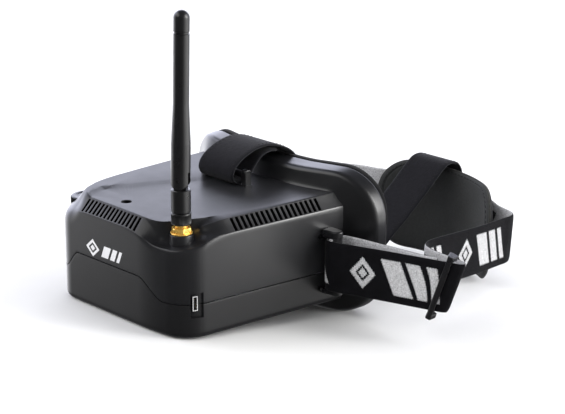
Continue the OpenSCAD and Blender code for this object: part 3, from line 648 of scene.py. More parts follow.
def upper_shell():
    S_SLOT = (0.03, 0.68)
    ss = np.array([0.015, S_SLOT[0], S_SLOT[0] + 0.012, 0.1, 0.17, 0.24, 0.31, 0.38, 0.45, 0.52, 0.58, 0.63, S_SLOT[1] - 0.012, S_SLOT[1], S_SLOT[1] + 0.012,
                   0.70, 0.715, 0.73, 0.76, 0.8, 0.84, 0.88, 0.92, 0.955, 0.98, 1.0])
    rows, painted_shade_rows = [], []
    for L in US:
        (A, n) = outline(L)
        P = parting(L) + 0.16
        C = crease(L)
        B = top_edge(L)
        bz = top_z(B)
        w = scoop(L)
        col, painted_shade_col = [], []

        def at(inset, z, d=0):
            q = A - n * inset
            col.append((q[0], q[1], z))
            painted_shade_col.append(d)
        ud = usb_depth(L, P + 0.3)
        at(max(1.6, ud), P)
        at(max(0.32, ud), P)
        at(max(0.09, ud), P + 0.09)
        at(max(0.0, ud), P + 0.3)
        wl = soft_corner(L)
        we = wl * float(sstep(-57.5, -52.0, L))
        z0, z1 = P + 0.3, C - 2.3 - 2.0 * w - 3.0 * we
        nz = 12
        zs = [z0 + (z1 - z0) * k / nz for k in range(1, nz + 1)]
        # rows bend to the edges of the port pocket and of the wheel slot where they pass
        if abs(L - USB_L) < 5.2 or abs(L - WHEEL_L) < 11:
            marks = [24.1, 24.3, 24.6] if abs(L - USB_L) < 5.2 else [45.85, 46.15, 46.35]
            if abs(L - USB_L) < 5.2:
                zs = list(np.linspace(z0, 23.85, 5)[1:]) + marks + list(np.linspace(24.95, z1, 6)[1:])
            else:
                zs = list(np.linspace(z0, 45.5, 5)[1:]) + marks + list(np.linspace(46.4, max(46.6, z1), 6)[1:])
        assert len(zs) == nz
        for z in zs:
            dd = max(usb_depth(L, z), wheel_depth(L, z))
            at(dd, z, 1 if dd > 1 else 0)
        # rounded crease
        wd = wheel_depth(L, C - 1.2)
        slope = math.atan2(bz - 0.55 - C, 5.4)
        sl = slope * (1 - w)
        AB = np.linalg.norm(B - A)
        Mp = (A - n * min(5.4 + 0.8 * float(sstep(-60, -40, L) * (1 - sstep(-28, 10, L))), AB)) * (1 - wl) + (A + (B - A) * 0.86) * wl
        mz = bz - 0.5 - 0.7 * wl
        slot = in_slot(L)
        nrm = np.array((n[0] * math.sin(slope), n[1] * math.sin(slope), math.cos(slope)))

        def slant(t):
            return np.array((*(A + (Mp - A) * t), C + (mz - C) * t)) + nrm * (wl * -0.55 * math.sin(math.pi * t))
        # the rounding is larger at the front left corner
        wz = min(1.0, 3.0 * we)
        t0 = wz * (0.9 + 2.6 * we) / math.hypot(np.linalg.norm(Mp - A), mz - C)
        f = 0.9 + 0.5 * w
        q = A - n * f * math.cos(sl)
        end = np.array((q[0], q[1], C + f * math.sin(sl))) * (1 - wz) + slant(t0) * wz
        for k in range(1, 8):
            t = k / 8
            q = np.array((A[0], A[1], C - (2.3 + 2.0 * w + 3.0 * we))) * (1 - t) ** 2 + np.array((A[0], A[1], C)) * (2 * t * (1 - t)) + end * t ** 2
            q[:2] -= n * wd * (1 - t)
            col.append(tuple(q))
            painted_shade_col.append(1 if wd * (1 - t) > 1 else 0)
        # band up to the top edge
        for s in ss:
            if s <= 0.7:
                t = s / 0.7
                c0 = slant(t0 + (1 - t0) * t)
            else:
                t = (s - 0.7) / 0.3
                e = 1 - (1 - t) ** 2
                c0 = np.array((*(Mp + (B - Mp) * t), mz + (bz - mz) * e))
            h = s
            nn = 3.4
            zt = 1 - (1 - min(h, 0.9999) ** nn) ** (1 / nn) if s < 1 else 1.0
            # even spacing round the steep end of the cove
            th = s * math.pi / 2
            hh = math.sin(th) ** (2 / nn)
            zt = 1 - math.cos(th) ** (2 / nn)
            c1 = np.array((*(A + (B - A) * hh), C + (bz - C) * zt))
            q = c0 * (1 - w) + c1 * w
            d = 0
            if slot and S_SLOT[0] - 1e-6 <= s <= S_SLOT[1] + 1e-6 and w < 0.05:
                inner = S_SLOT[0] + 0.005 < s < S_SLOT[1] - 0.005
                if slot == 2 and inner:
                    q = q - nrm * 2.6
                    d = 2
                else:
                    q = q - nrm * 0.12
                    d = 1
            col.append(tuple(q))
            painted_shade_col.append(2 if d == 2 else 0)
        # small coplanar margin inside the edge
        rows.append(col)
        painted_shade_rows.append(painted_shade_col)
    nu, nv = len(US), len(rows[0])
    V = [p for c in rows for p in c]
    F = grid_faces(nu, nv)
    painted_shade_flat = [d for c in painted_shade_rows for d in c]
    # faces deep inside the vent slots take the near-black painted-shade material
    mi = [1 if max(painted_shade_flat[i] for i in f) == 2 and sum(painted_shade_flat[i] == 2 for i in f) >= 2 else 0 for f in F]
    bm = bmesh.new()
    vs = [bm.verts.new(Vector(p)) for p in V]
    for f, m in zip(F, mi):
        try:
            fc = bm.faces.new([vs[i] for i in f])
            fc.material_index = m
        except ValueError:
            pass
    # top field with its screw recess, filled inside the edge
    edge = [vs[i * nv + nv - 1] for i in range(nu)]
    cen = np.array((-3.0, 50.0))
    ring = []
    for i in range(nu):
        p = np.array(edge[i].co[:2])
        a = np.array(edge[max(0, i - 1)].co[:2])
        b = np.array(edge[min(nu - 1, i + 1)].co[:2])
        t = (b - a) / (np.linalg.norm(b - a) + 1e-9)
        inn = np.array((-t[1], t[0]))
        q = p + inn * 0.7
        if i in (0, nu - 1):
            q = np.array((p[0] + (0.7 if i == 0 else -0.7), p[1]))
        ring.append(bm.verts.new(Vector((q[0], q[1], top_z(q)))))
    for i in range(nu - 1):
        bm.faces.new((edge[i], edge[i + 1], ring[i + 1], ring[i]))
    hole = []
    hx, hy, hr = -9.4, 15.4, 3.05
    NH = 40
    for k in range(NH):
        t = 2 * math.pi * k / NH
        hole.append(bm.verts.new(Vector((hx + hr * math.cos(t), hy + hr * math.sin(t), 57.25))))
    es = []
    for i in range(nu - 1):
        es.append(bm.edges.get((ring[i], ring[i + 1])) or bm.edges.new((ring[i], ring[i + 1])))
    rear = []
    xa, xb = ring[-1].co.x, ring[0].co.x
    for k in range(1, 24):
        x = xa + (xb - xa) * k / 24
        rear.append(bm.verts.new(Vector((x, 96.4 + (ring[-1].co.y - 96.4) * (x / xa) ** 4, 57.0))))
    chain = [ring[-1]] + rear + [ring[0]]
    for a, b in zip(chain[:-1], chain[1:]):
        es.append(bm.edges.new((a, b)))
    for k in range(NH):
        es.append(bm.edges.new((hole[k], hole[(k + 1) % NH])))
    for v in ring + hole:
        v.co.z = 57.0
    r = bmesh.ops.triangle_fill(bm, edges=es, use_beauty=True, use_dissolve=False, normal=Vector((0, 0, 1)))
    top_faces = [g for g in r["geom"] if isinstance(g, bmesh.types.BMFace)]
    lines = []
    for (nx, ny, c) in ((0.917, -0.398, 37.5 * 0.917 + 21.8 * 0.398), (-0.815, -0.578, 20.9 * 0.815 + 33.2 * 0.578), (0.929, 0.371, 34.5 * 0.929 - 14.3 * 0.371 + 1.0)):
        for d in (0.0, RUN):
            k = d - c
            lines.append((Vector((nx * k, ny * k, 57)), Vector((nx, ny, 0))))
    # where two slopes of the field meet
    for (a1, b1, c1), (a2, b2, c2) in ((((0.917, -0.398, 37.5 * 0.917 + 21.8 * 0.398)), ((-0.815, -0.578, 20.9 * 0.815 + 33.2 * 0.578))),
                                       (((0.917, -0.398, 37.5 * 0.917 + 21.8 * 0.398)), ((0.929, 0.371, 34.5 * 0.929 - 14.3 * 0.371 + 1.0)))):
        nn = np.array((a1 - a2, b1 - b2))
        k = (c2 - c1) / (nn @ nn)
        lines.append((Vector((nn[0] * k, nn[1] * k, 57)), Vector((nn[0], nn[1], 0)).normalized()))
    for co, no in lines:
        tf = [f for f in top_faces if f.is_valid]
        geom = set(tf)
        for f in tf:
            geom.update(f.edges)
            geom.update(f.verts)
        rr = bmesh.ops.bisect_plane(bm, geom=list(geom), plane_co=co, plane_no=no, dist=1e-4)
        top_faces = [g for g in rr["geom"] if isinstance(g, bmesh.types.BMFace) and g.is_valid]
    tv = set()
    for f in top_faces:
        tv.update(f.verts)
    for v in tv:
        v.co.z = top_z((v.co.x, v.co.y))
    for v in hole:
        v.co.z = top_z((hx, hy))
    # recess wall and floor; the deep wall and floor take the near-black painted-shade material
    prev = hole
    for rr_, dz in ((2.85, -0.12), (2.7, -0.4), (2.68, -3.1), (1.3, -3.1)):
        nxt = []
        for k in range(NH):
            t = 2 * math.pi * k / NH
            nxt.append(bm.verts.new(Vector((hx + rr_ * math.cos(t), hy + rr_ * math.sin(t), 57.25 + dz))))
        for k in range(NH):
            fc = bm.faces.new((prev[k], prev[(k + 1) % NH], nxt[(k + 1) % NH], nxt[k]))
            if dz < -1:
                fc.material_index = 1
        prev = nxt
    bmesh.ops.recalc_face_normals(bm, faces=bm.faces)
    for f in bm.faces:
        f.smooth = True
    for f in top_faces:
        if f.is_valid:
            f.smooth = False
    o = bm_obj("upper_shell_skin", bm, [M_SHELL, M_PAINTED_SHADE], smooth=None, sharp=38, normals=False)
    return o


def lower_shell():
    rows = []
    for L in US:
        A, n = outline(L)
        P = parting(L) - 0.16
        col = []

        def at(inset, z):
            q = A - n * inset
            col.append((q[0], q[1], z))
        ud = usb_depth(L, P - 0.3)
        at(max(1.6, ud), P)
        at(max(0.32, ud), P)
        at(max(0.09, ud), P - 0.09)
        at(max(0.0, ud), P - 0.3)
        fr = 3.5
        z0, z1 = P - 0.3, fr
        if abs(L - USB_L) < 5.2:
            zs = list(np.linspace(z0, 11.85, 4)[1:]) + [11.5, 11.3, 11.0] + list(np.linspace(10.55, z1, 4)[1:])
        else:
            zs = [z0 + (z1 - z0) * k / 9 for k in range(1, 10)]
        for z in zs:
            at(usb_depth(L, z), z)
        for k in range(1, 13):
            t = k / 12 * math.pi / 2
            at(fr * (1 - math.cos(t)), fr * (1 - math.sin(t)))
        at(fr + 0.7, 0.0)
        rows.append(col)
    nu, nv = len(US), len(rows[0])
    bm = bmesh.new()
    vs = [bm.verts.new(Vector(p)) for c in rows for p in c]
    for f in grid_faces(nu, nv):
        bm.faces.new([vs[i] for i in f])
    ring = [vs[i * nv + nv - 1] for i in range(nu)]
    es = [bm.edges.get((ring[i], ring[i + 1])) for i in range(nu - 1)]
    es.append(bm.edges.new((ring[-1], ring[0])))
    holes = []
    NH = 28
    for hx, hy in ((46, 39), (-46, 39), (50.2, 79), (-50.2, 79)):
        hx = hx - math.copysign(0.0, hx)
        h = []
        for k in range(NH):
            t = 2 * math.pi * k / NH
            h.append(bm.verts.new(Vector((hx + 2.35 * math.cos(t), hy + 2.35 * math.sin(t), 0))))
        for k in range(NH):
            es.append(bm.edges.new((h[k], h[(k + 1) % NH])))
        holes.append((hx, hy, h))
    bmesh.ops.triangle_fill(bm, edges=es, use_beauty=True, use_dissolve=False, normal=Vector((0, 0, -1)))
    for hx, hy, h in holes:
        prev = h
        for rr_, z in ((2.25, 0.3), (2.2, 3.9), (0.95, 3.9)):
            nxt = []
            for k in range(NH):
                t = 2 * math.pi * k / NH
                nxt.append(bm.verts.new(Vector((hx + rr_ * math.cos(t), hy + rr_ * math.sin(t), z))))
            for k in range(NH):
                fc = bm.faces.new((prev[k], prev[(k + 1) % NH], nxt[(k + 1) % NH], nxt[k]))
                # painted shade: the deep walls and floor of each screw hole take the near-black material
                if z > 1:
                    fc.material_index = 1
            prev = nxt
    return bm_obj("lower_shell_skin", bm, [M_LOWER, M_PAINTED_SHADE], sharp=38)


up = wn(put(upper_shell(), "shell_black", "upper_shell"))
lo = wn(put(lower_shell(), "shell_lower", "lower_shell"))

# antenna boss in the cove, part of the upper shell's moulding
bm = bmesh.new()
add_rev(bm, [(6.6, 44.4), (6.15, 45.6), (5.98, 47), (5.92, 51.4), (5.8, 51.8), (5.5, 52.1), (3.4, 52.15), (3.3, 51.8), (3.28, 46.0)], 72, (37.9, 12.8, 0), cap=False)
boss = put(bm_obj("antenna_boss", bm, [M_SHELL], sharp=50), "shell_black")

# ------------------------------------------------------------------ face flange
NS, NC, NB = 14, 14, 44


def rrect(W, ZT, ZB, R):
    """Rounded outline in x and z, the same count of points on every call."""
    P = []
    for k in range(NS):
        P.append((W, ZB + R + (ZT - ZB - 2 * R) * k / NS))
    for k in range(NC):
        t = math.pi / 2 * k / NC
        P.append((W - R + R * math.cos(t), ZT - R + R * math.sin(t)))
    for k in range(NB):
        P.append((W - R - (2 * W - 2 * R) * k / NB, ZT))
    for k in range(NC):
        t = math.pi / 2 * (1 + k / NC)
        P.append((-W + R + R * math.cos(t), ZT - R + R * math.sin(t)))
    for k in range(NS):
        P.append((-W, ZT - R - (ZT - ZB - 2 * R) * k / NS))
    for k in range(NC):
        t = math.pi / 2 * (2 + k / NC)
        P.append((-W + R + R * math.cos(t), ZB + R + R * math.sin(t)))
    for k in range(NB):
        P.append((-W + R + (2 * W - 2 * R) * k / NB, ZB))
    for k in range(NC):
        t = math.pi / 2 * (3 + k / NC)
        P.append((W - R + R * math.cos(t), ZB + R + R * math.sin(t)))
    return np.array(P)


def with_nose(P, r, w, zc=-16.0, soft=5.0):
    """Lift the lower edge over the nose."""
    Q = P.copy()
    for i, (x, z) in enumerate(P):
        if z < 15 and abs(x) < r + 6:
            top = zc + math.sqrt(max(0.0, r * r - x * x)) if abs(x) < r else zc
            d = top - z
            lift = 0.5 * (d + math.sqrt(d * d + soft)) if abs(x) < r + 6 else 0
            fade = 1 - float(sstep(r - 1.5, r + 5, abs(x)))
            Q[i, 1] = z + w * lift * fade
    return Q


def ring_at(W, ZT, ZB, R, yt, ys, nose=0.0, r=25.0):
    P = with_nose(rrect(W, ZT, ZB, R), r, nose)
    y = yt + (ys - yt) * (P[:, 0] / W) ** 2
    return np.stack([P[:, 0], y, P[:, 1]], 1)


def face_flange():
    L = [
        ring_at(56.0, 56.6, 1.0, 9.5, 94.2, 102.6),
        ring_at(57.0, 57.6, 0.4, 9.8, 95.4, 103.6),
        ring_at(57.8, 58.3, -0.2, 10.2, 96.1, 104.4),
        ring_at(58.8, 59.3, -0.9, 10.8, 96.7, 105.2, 0.05),
        ring_at(60.4, 60.7, -1.9, 12.0, 97.2, 106.1, 0.12),
        ring_at(63.0, 62.4, -3.3, 14.2, 97.9, 107.4, 0.3),
        ring_at(66.4, 64.2, -5.0, 17.2, 98.4, 109.2, 0.52),
        ring_at(69.6, 65.7, -6.5, 20.4, 98.8, 110.9, 0.75),
        ring_at(70.4, 66.2, -7.0, 21.2, 99.0, 111.4, 0.80),
        ring_at(71.1, 66.8, -7.6, 22.0, 99.4, 111.9, 0.86),
        ring_at(71.9, 67.4, -8.1, 22.9, 100.0, 112.5, 0.92),
        ring_at(72.6, 67.85, -8.6, 23.6, 100.8, 113.3, 0.96),
        ring_at(73.1, 68.1, -8.9, 24.1, 101.8, 114.2, 1.0),
        ring_at(73.35, 68.2, -9.1, 24.4, 102.8, 115.2, 1.0),
        ring_at(73.4, 68.25, -9.15, 24.45, 103.4, 115.8, 1.0),
        ring_at(73.3, 68.55, -9.3, 24.6, 106.6, 118.3, 1.0),
        ring_at(73.15, 68.8, -9.42, 24.7, 109.5, 120.6, 1.0),
        ring_at(73.05, 68.8, -9.45, 24.7, 110.0, 121.0, 1.0),
        ring_at(72.8, 68.6, -9.25, 24.5, 110.4, 121.4, 1.0),
        ring_at(72.3, 68.1, -8.7, 24.0, 110.6, 121.6, 1.0),
        ring_at(71.4, 67.3, -7.8, 23.2, 110.6, 121.5, 1.0, 25.8),
        ring_at(71.0, 66.9, -7.4, 22.8, 110.2, 121.1, 1.0, 26.2),
        ring_at(70.6, 66.5, -6.9, 22.4, 107.4, 118.0, 0.98, 26.6),
        ring_at(69.8, 65.7, -6.2, 21.4, 103.6, 114.6, 0.9, 26.6),
        ring_at(68.0, 64.4, -5.2, 19.6, 102.6, 112.8, 0.8, 26.6),
        ring_at(62.6, 61.2, -2.0, 14.4, 102.4, 109.6, 0.4, 26.6),
        ring_at(57.6, 57.8, 0.9, 10.8, 102.2, 107.2, 0.15, 26),
        ring_at(55.0, 55.6, 2.4, 9.4, 102.2, 106.0),
        ring_at(48.6, 54.0, 3.8, 4.0, 101.3, 101.3),
        ring_at(47.6, 53.3, 4.5, 3.0, 101.0, 101.0),
        ring_at(47.5, 53.2, 4.6, 3.0, 98.9, 98.9),
    ]
    # the upper edge dips a little in the middle, and the bend lies further back at the left end
    for k, r in enumerate(L):
        if k < 15:
            r[:, 1] += 3.0 * min(1.0, k / 4) * sstep(44, 66, -r[:, 0])
        top = np.clip((r[:, 2] - 58.5) / 8.0, 0, 1)
        r[:, 2] -= 1.0 * top * (1 - sstep(20, 50, np.abs(r[:, 0])))
    n = len(L[0])
    V = np.concatenate(L)
    F = grid_faces(len(L), n, cv=True, flip=True)
    o = mesh_obj("face_flange_bell", V, F, [M_FLANGE], sharp=60)
    return o


fl = wn(put(face_flange(), "flange_black", "face_flange"), 40)


def face_foam():
    """Soft ring: crowned section, slightly uneven nap."""
    rows = []
    sec = 20
    outer = with_nose(rrect(70.6, 69.5, -6.0, 23.4), 27.5, 1.0)
    inner = with_nose(rrect(59.6, 57.0, 5.2, 13.0), 31.0, 1.0, zc=-16.0)
    for q in (outer, inner):
        q[:, 1] -= 1.3 * np.clip((q[:, 1] - 50) / 14.0, 0, 1) * (1 - sstep(20, 50, np.abs(q[:, 0])))
    n = len(outer)
    for k in range(sec):
        t = 2 * math.pi * k / sec
        e = 0.45
        a = math.copysign(abs(math.cos(t)) ** e, math.cos(t))
        b = math.copysign(abs(math.sin(t)) ** e, math.sin(t))
        f = 0.5 + 0.5 * a
        P = inner + (outer - inner) * f
        y = 110.5 + 0.002 * P[:, 0] ** 2 + 2.6 + 2.6 * b
        wob = 0.22 * np.sin(np.arange(n) * 0.37 + k * 1.3) + 0.16 * np.sin(np.arange(n) * 0.91 + k * 2.1)
        y = y + wob * (1 if b > 0.1 else 0)
        rows.append(np.stack([P[:, 0], y, P[:, 1]], 1))
    V = np.concatenate(rows)
    o = mesh_obj("face_foam_seal", V, grid_faces(sec, n, True, True), [M_FOAM])
    m = o.modifiers.new("sub", "SUBSURF")
    m.levels = m.render_levels = 1
    return o


foam = put(face_foam(), "foam_black", "face_foam")

# ------------------------------------------------------------------ lens with moulded rings
def lens_piece():
    nx, nz = 176, 86
    xs = np.linspace(-43.8, 43.8, nx)
    zs = np.linspace(7.6, 50.2, nz)
    V, F = [], []
    for x in xs:
        for z in zs:
            r = math.hypot(x, z - 28.9)
            V.append((x, 60.05 - 0.22 * ((r / 1.6) % 1.0), z))
    for x in xs:
        for z in zs:
            V.append((x, 57.75, z))
    F = grid_faces(nx, nz, flip=True)
    N = nx * nz
    F += grid_faces(nx, nz, base=N)
    per = [i * nz for i in range(nx)] + [(nx - 1) * nz + j for j in range(1, nz)] + [i * nz + nz - 1 for i in range(nx - 2, -1, -1)] + [j for j in range(nz - 2, 0, -1)]
    for a, b in zip(per, per[1:] + per[:1]):
        F.append((a, b, b + N, a + N))
    return mesh_obj("lens_ringed", V, F, [M_LENS], sharp=40)


put(lens_piece(), "lens_clear", "lens")

# ------------------------------------------------------------------ antenna hardware
AX = (37.9, 12.8, 0.0)


def hexr(ap, rmax):
    def f(t):
        d = (math.degrees(t) + 30) % 60 - 30
        return min(rmax, ap / math.cos(math.radians(d)))
    return f


bm = bmesh.new()
add_rev(bm, [(3.25, 52.2), (5.32, 52.2), (5.5, 52.35), (5.5, 52.8), (5.32, 52.95), (3.25, 52.95)], 96, AX, cap=False)
add_rev(bm, [(3.25, 52.95), (hexr(4.5, 4.66), 52.95), (hexr(4.5, 5.16), 53.25), (hexr(4.5, 5.16), 55.0), (hexr(4.5, 4.66), 55.4), (3.3, 55.4), (3.25, 55.2)], 96, AX, cap=False)
put(bm_obj("sma_nut_hex", bm, [M_GOLD], sharp=24), "gold_plate", "sma_nut")

bm = bmesh.new()
KN = 44


def knurl(r, d):
    return lambda t: r - d * abs(((t * KN / (2 * math.pi)) % 1.0) * 2 - 1) ** 1.4


rows = [(3.4, 57.15), (4.7, 57.1), (4.95, 57.3), (5.02, 57.5), (knurl(5.06, 0.0), 57.7), (knurl(5.06, 0.26), 57.9), (knurl(5.06, 0.26), 62.0), (knurl(5.06, 0.0), 62.2),
        (5.02, 62.6), (4.95, 62.95), (4.7, 63.18), (2.7, 63.2)]
add_rev(bm, rows, KN * 4, AX, cap=False)
put(bm_obj("antenna_nut_knurled", bm, [M_ANT], sharp=35), "antenna_black", "antenna_nut")

# thread turns of the jack between the two nuts
bm = bmesh.new()
rows = []
for k in range(7):
    z = 55.4 + 0.24 * k
    rows += [(3.02, z), (3.2, z + 0.06), (3.2, z + 0.12), (3.02, z + 0.18)]
add_rev(bm, rows, 48, AX, cap=False)
put(bm_obj("jack_thread", bm, [M_GOLD], sharp=30), "gold_plate")

for node in ("antenna_whip", "antenna_collar", "antenna_cap", "top_screw", "usb_port", "light_shroud", "lens_frame"):
    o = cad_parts[node]
    bv = o.modifiers.new("edge", "BEVEL")
    bv.width = 0.00018
    bv.segments = 2
    bv.limit_method = "ANGLE"
    bv.angle_limit = math.radians(40)
    bv.harden_normals = False

# ------------------------------------------------------------------ thumb wheel
bm = bmesh.new()
TN = 54


def ridge(r, d):
    return lambda t: r - d * (0.5 - 0.5 * math.cos(t * TN)) ** 0.7


rows = [(1.56, 46.62), (8.3, 46.62), (9.0, 46.75), (ridge(9.4, 0.1), 47.05), (ridge(9.58, 0.42), 47.4), (ridge(9.58, 0.42), 50.4), (ridge(9.4, 0.1), 50.8), (9.0, 51.05), (8.4, 51.18),
        (6.6, 51.1), (6.3, 50.9), (3.4, 50.9), (3.1, 51.12), (1.56, 51.15), (1.56, 46.62)]
add_rev(bm, rows, TN * 5, (-48.7, 20.6, 0), cap=False)
put(bm_obj("thumb_wheel_ridged", bm, [M_CONTROL], sharp=40), "control_black", "jog_wheel", body="wheel")

# ------------------------------------------------------------------ charging port inside
UC = Matrix.Rotation(math.radians(-15), 3, "Z")


def usb_pt(a, b, c):
    q = UC @ Vector((RC + a, b, 0))
    return (CCX + q.x, RC + q.y, 18.9 + c)


def usb_box(bm, lo, hi, bev):
    (x0, y0, z0), (x1, y1, z1) = lo, hi
    add_prism(bm, [usb_pt(x0, y0, z0), usb_pt(x1, y0, z0), usb_pt(x1, y1, z0), usb_pt(x0, y1, z0)], (0, 0, z1 - z0), bev, 2)


bm = bmesh.new()
usb_box(bm, (-5.0, -0.55, -2.6), (-1.7, 0.1, 2.6), 0.1)
put(bm_obj("port_tongue", bm, [M_INNER], sharp=40), "inner_black")
bm = bmesh.new()
for k in range(5):
    usb_box(bm, (-4.4, 0.1, -2.0 + 0.95 * k - 0.2), (-1.9, 0.2, -2.0 + 0.95 * k + 0.2), 0.03)
put(bm_obj("port_contacts", bm, [M_GOLD], sharp=40), "gold_plate")

# ------------------------------------------------------------------ strap fittings
def side_pt(a, b, z, s=1.0, y=93.8):
    x = 51 + math.tan(FL) * y
    return (s * (x + a * math.cos(FL) + b * math.sin(FL)), y - a * math.sin(FL) + b * math.cos(FL), z)


def anchor(s, name, node):
    bm = bmesh.new()
    add_prism(bm, [side_pt(a, b, 6.1, s) for a, b in ((0.05, -1.2), (0.95, -0.8), (0.95, 2.3), (0.05, 2.9))], (0, 0, 36.0), 0.25)
    prof = [(0.3, -4.5), (2.6, -4.0), (5, -3.45), (8, -3.05), (9.8, -2.3), (10.8, -0.7), (10.9, 1.1), (9.9, 2.7), (8, 3.4), (5, 3.35), (2.6, 3.1), (0.3, 2.9)]
    for z, h, e in ((7.4, 2.7, 0.7), (37.9, 4.3, 0.9)):
        add_prism(bm, [side_pt(a, b, z, s) for a, b in prof], (0, 0, h), e, 3)
    c = side_pt(8.1, 0.3, 0, s)
    add_rev(bm, [(2.55, 8.2), (2.55, 40.0)], 40, c)
    return put(bm_obj(name, bm, [M_FITTING], sharp=45), "fitting_black", node)


wn(anchor(1.0, "side_anchor_right", "anchor_right"))
wn(anchor(-1.0, "side_anchor_left", "anchor_left"))


def staple():
    bm = bmesh.new()
    SX, SY = -4.2, 78.2
    for s in (-1, 1):
        x = SX + s * 16.3
        pts = [(x - 1.75, SY - 2.15, 57.0), (x - 1.75, SY + 2.15, 57.0), (x - 1.75, SY + 2.15, 65.2), (x - 1.75, SY + 1.6, 66.3), (x - 1.75, SY + 0.6, 66.65), (x - 1.75, SY - 0.6, 66.65),
               (x - 1.75, SY - 1.6, 66.3), (x - 1.75, SY - 2.15, 65.2)]
        add_prism(bm, pts, (3.5, 0, 0), 0.5, 3)
        add_prism(bm, [(x - 2.5, SY - 3.0, 57.0), (x + 2.5, SY - 3.0, 57.0), (x + 2.5, SY + 3.0, 57.0), (x - 2.5, SY + 3.0, 57.0)], (0, 0, 1.3), 0.4, 2)
    R = Matrix.Rotation(math.radians(90), 3, "Y")
    add_rev(bm, [(1.75, -15.4), (1.75, 15.4)], 40, (SX, SY, 63.6), R)
    add_prism(bm, [(SX - 16, SY - 2.3, 57.0), (SX + 16, SY - 2.3, 57.0), (SX + 16, SY + 2.3, 57.0), (SX - 16, SY + 2.3, 57.0)], (0, 0, 1.1), 0.25)
    return put(bm_obj("top_strap_staple", bm, [M_FITTING], sharp=45), "fitting_black", "top_staple")


wn(staple())


def slider(name, node, centre, yaw, tilt, mirror=1.0):
    bm = bmesh.new()
    Rz = Matrix.Rotation(math.radians(yaw), 3, "Z") @ Matrix.Rotation(math.radians(tilt), 3, "Y")
    c = Vector(centre)

    def P(a, b, z):
        q = c + Rz @ Vector((a, b, z))
        return (mirror * q.x, q.y, q.z)
    def E(z):
        q = Rz @ Vector((0, 0, z))
        return Vector((mirror * q.x, q.y, q.z))
    prof = [(-1.3, -2.5), (-0.7, -3.15), (1.3, -3.15), (1.9, -2.5), (2.5, 2.3), (2.0, 3.0), (-2.0, 3.0), (-2.5, 2.3)]
    for z in (-18.4, 15.6):
        add_prism(bm, [P(a, b, z) for a, b in prof], E(2.8), 0.55, 3)
    bar = [(-1.2, -2.4), (-0.9, -2.85), (-0.3, -3.1), (0.9, -3.1), (1.5, -2.85), (1.8, -2.4), (1.8, -1.7), (1.5, -1.4), (-0.9, -1.4), (-1.2, -1.7)]
    add_prism(bm, [P(a, b, -17.0) for a, b in bar], E(34.0), 0.12, 1)
    add_tube(bm, [P(0, 2.1, z) for z in np.linspace(-17, 17, 5)], 0.85, 20)
    return put(bm_obj(name, bm, [M_FITTING], sharp=45), "fitting_black", node)


wn(slider("band_slider_right", "slider_right", (124.6, 108, 24), 16.8, 19))
wn(slider("band_slider_left", "slider_left", (92, 119.4, 24), 50.2, 0, -1.0))


# ------------------------------------------------------------------ straps
def strip(name, P, Wd, width, t, mats, edge=0.72, bulge=0.0, m=15, skew=None):
    """Flat band: P centre points, Wd width directions, rounded selvedges."""
    P = np.asarray(P, float)
    Wd = np.asarray(Wd, float)
    T = np.gradient(P, axis=0)
    T /= np.linalg.norm(T, axis=1)[:, None]
    Wd = Wd - T * np.sum(Wd * T, 1)[:, None]
    Wd /= np.linalg.norm(Wd, axis=1)[:, None]
    Nn = np.cross(T, Wd)
    s = np.r_[0, np.cumsum(np.linalg.norm(np.diff(P, axis=0), axis=1))]
    q = np.linspace(-1, 1, m)
    q = np.sign(q) * (1 - (1 - np.abs(q)) ** 1.35)
    h = t / 2 * (1 - edge * np.abs(q) ** 14) + bulge * (np.exp(-((np.abs(q) - 0.93) / 0.045) ** 2))
    sec_v = np.r_[q * width / 2, (q * width / 2)[::-1]]
    sec_n = np.r_[h, -h[::-1]]
    n, k = len(P), 2 * m
    Ws = Wd if skew is None else Wd + skew
    V = (P[:, None, :] + Ws[:, None, :] * sec_v[None, :, None] + Nn[:, None, :] * sec_n[None, :, None]).reshape(-1, 3)
    uv = np.stack([np.repeat(s, k), np.tile(sec_v + width / 2, n)], 1)
    F, mi = [], []
    for i in range(n - 1):
        for j in range(k):
            a, b = i * k + j, i * k + (j + 1) % k
            F.append((a, b, b + k, a + k))
            mi.append(0 if j < m - 1 else (2 if j in (m - 1, k - 1) else 1))
    for e, flip in ((0, False), (n - 1, True)):
        for j in range(m - 1):
            a, b = e * k + j, e * k + j + 1
            c, d = e * k + (k - 1 - j - 1), e * k + (k - 1 - j)
            F.append((a, d, c, b) if not flip else (a, b, c, d))
            mi.append(2)
    o = mesh_obj(name, V, F, mats, mi, uv, sharp=None)
    return o, s[-1], P, Wd, Nn


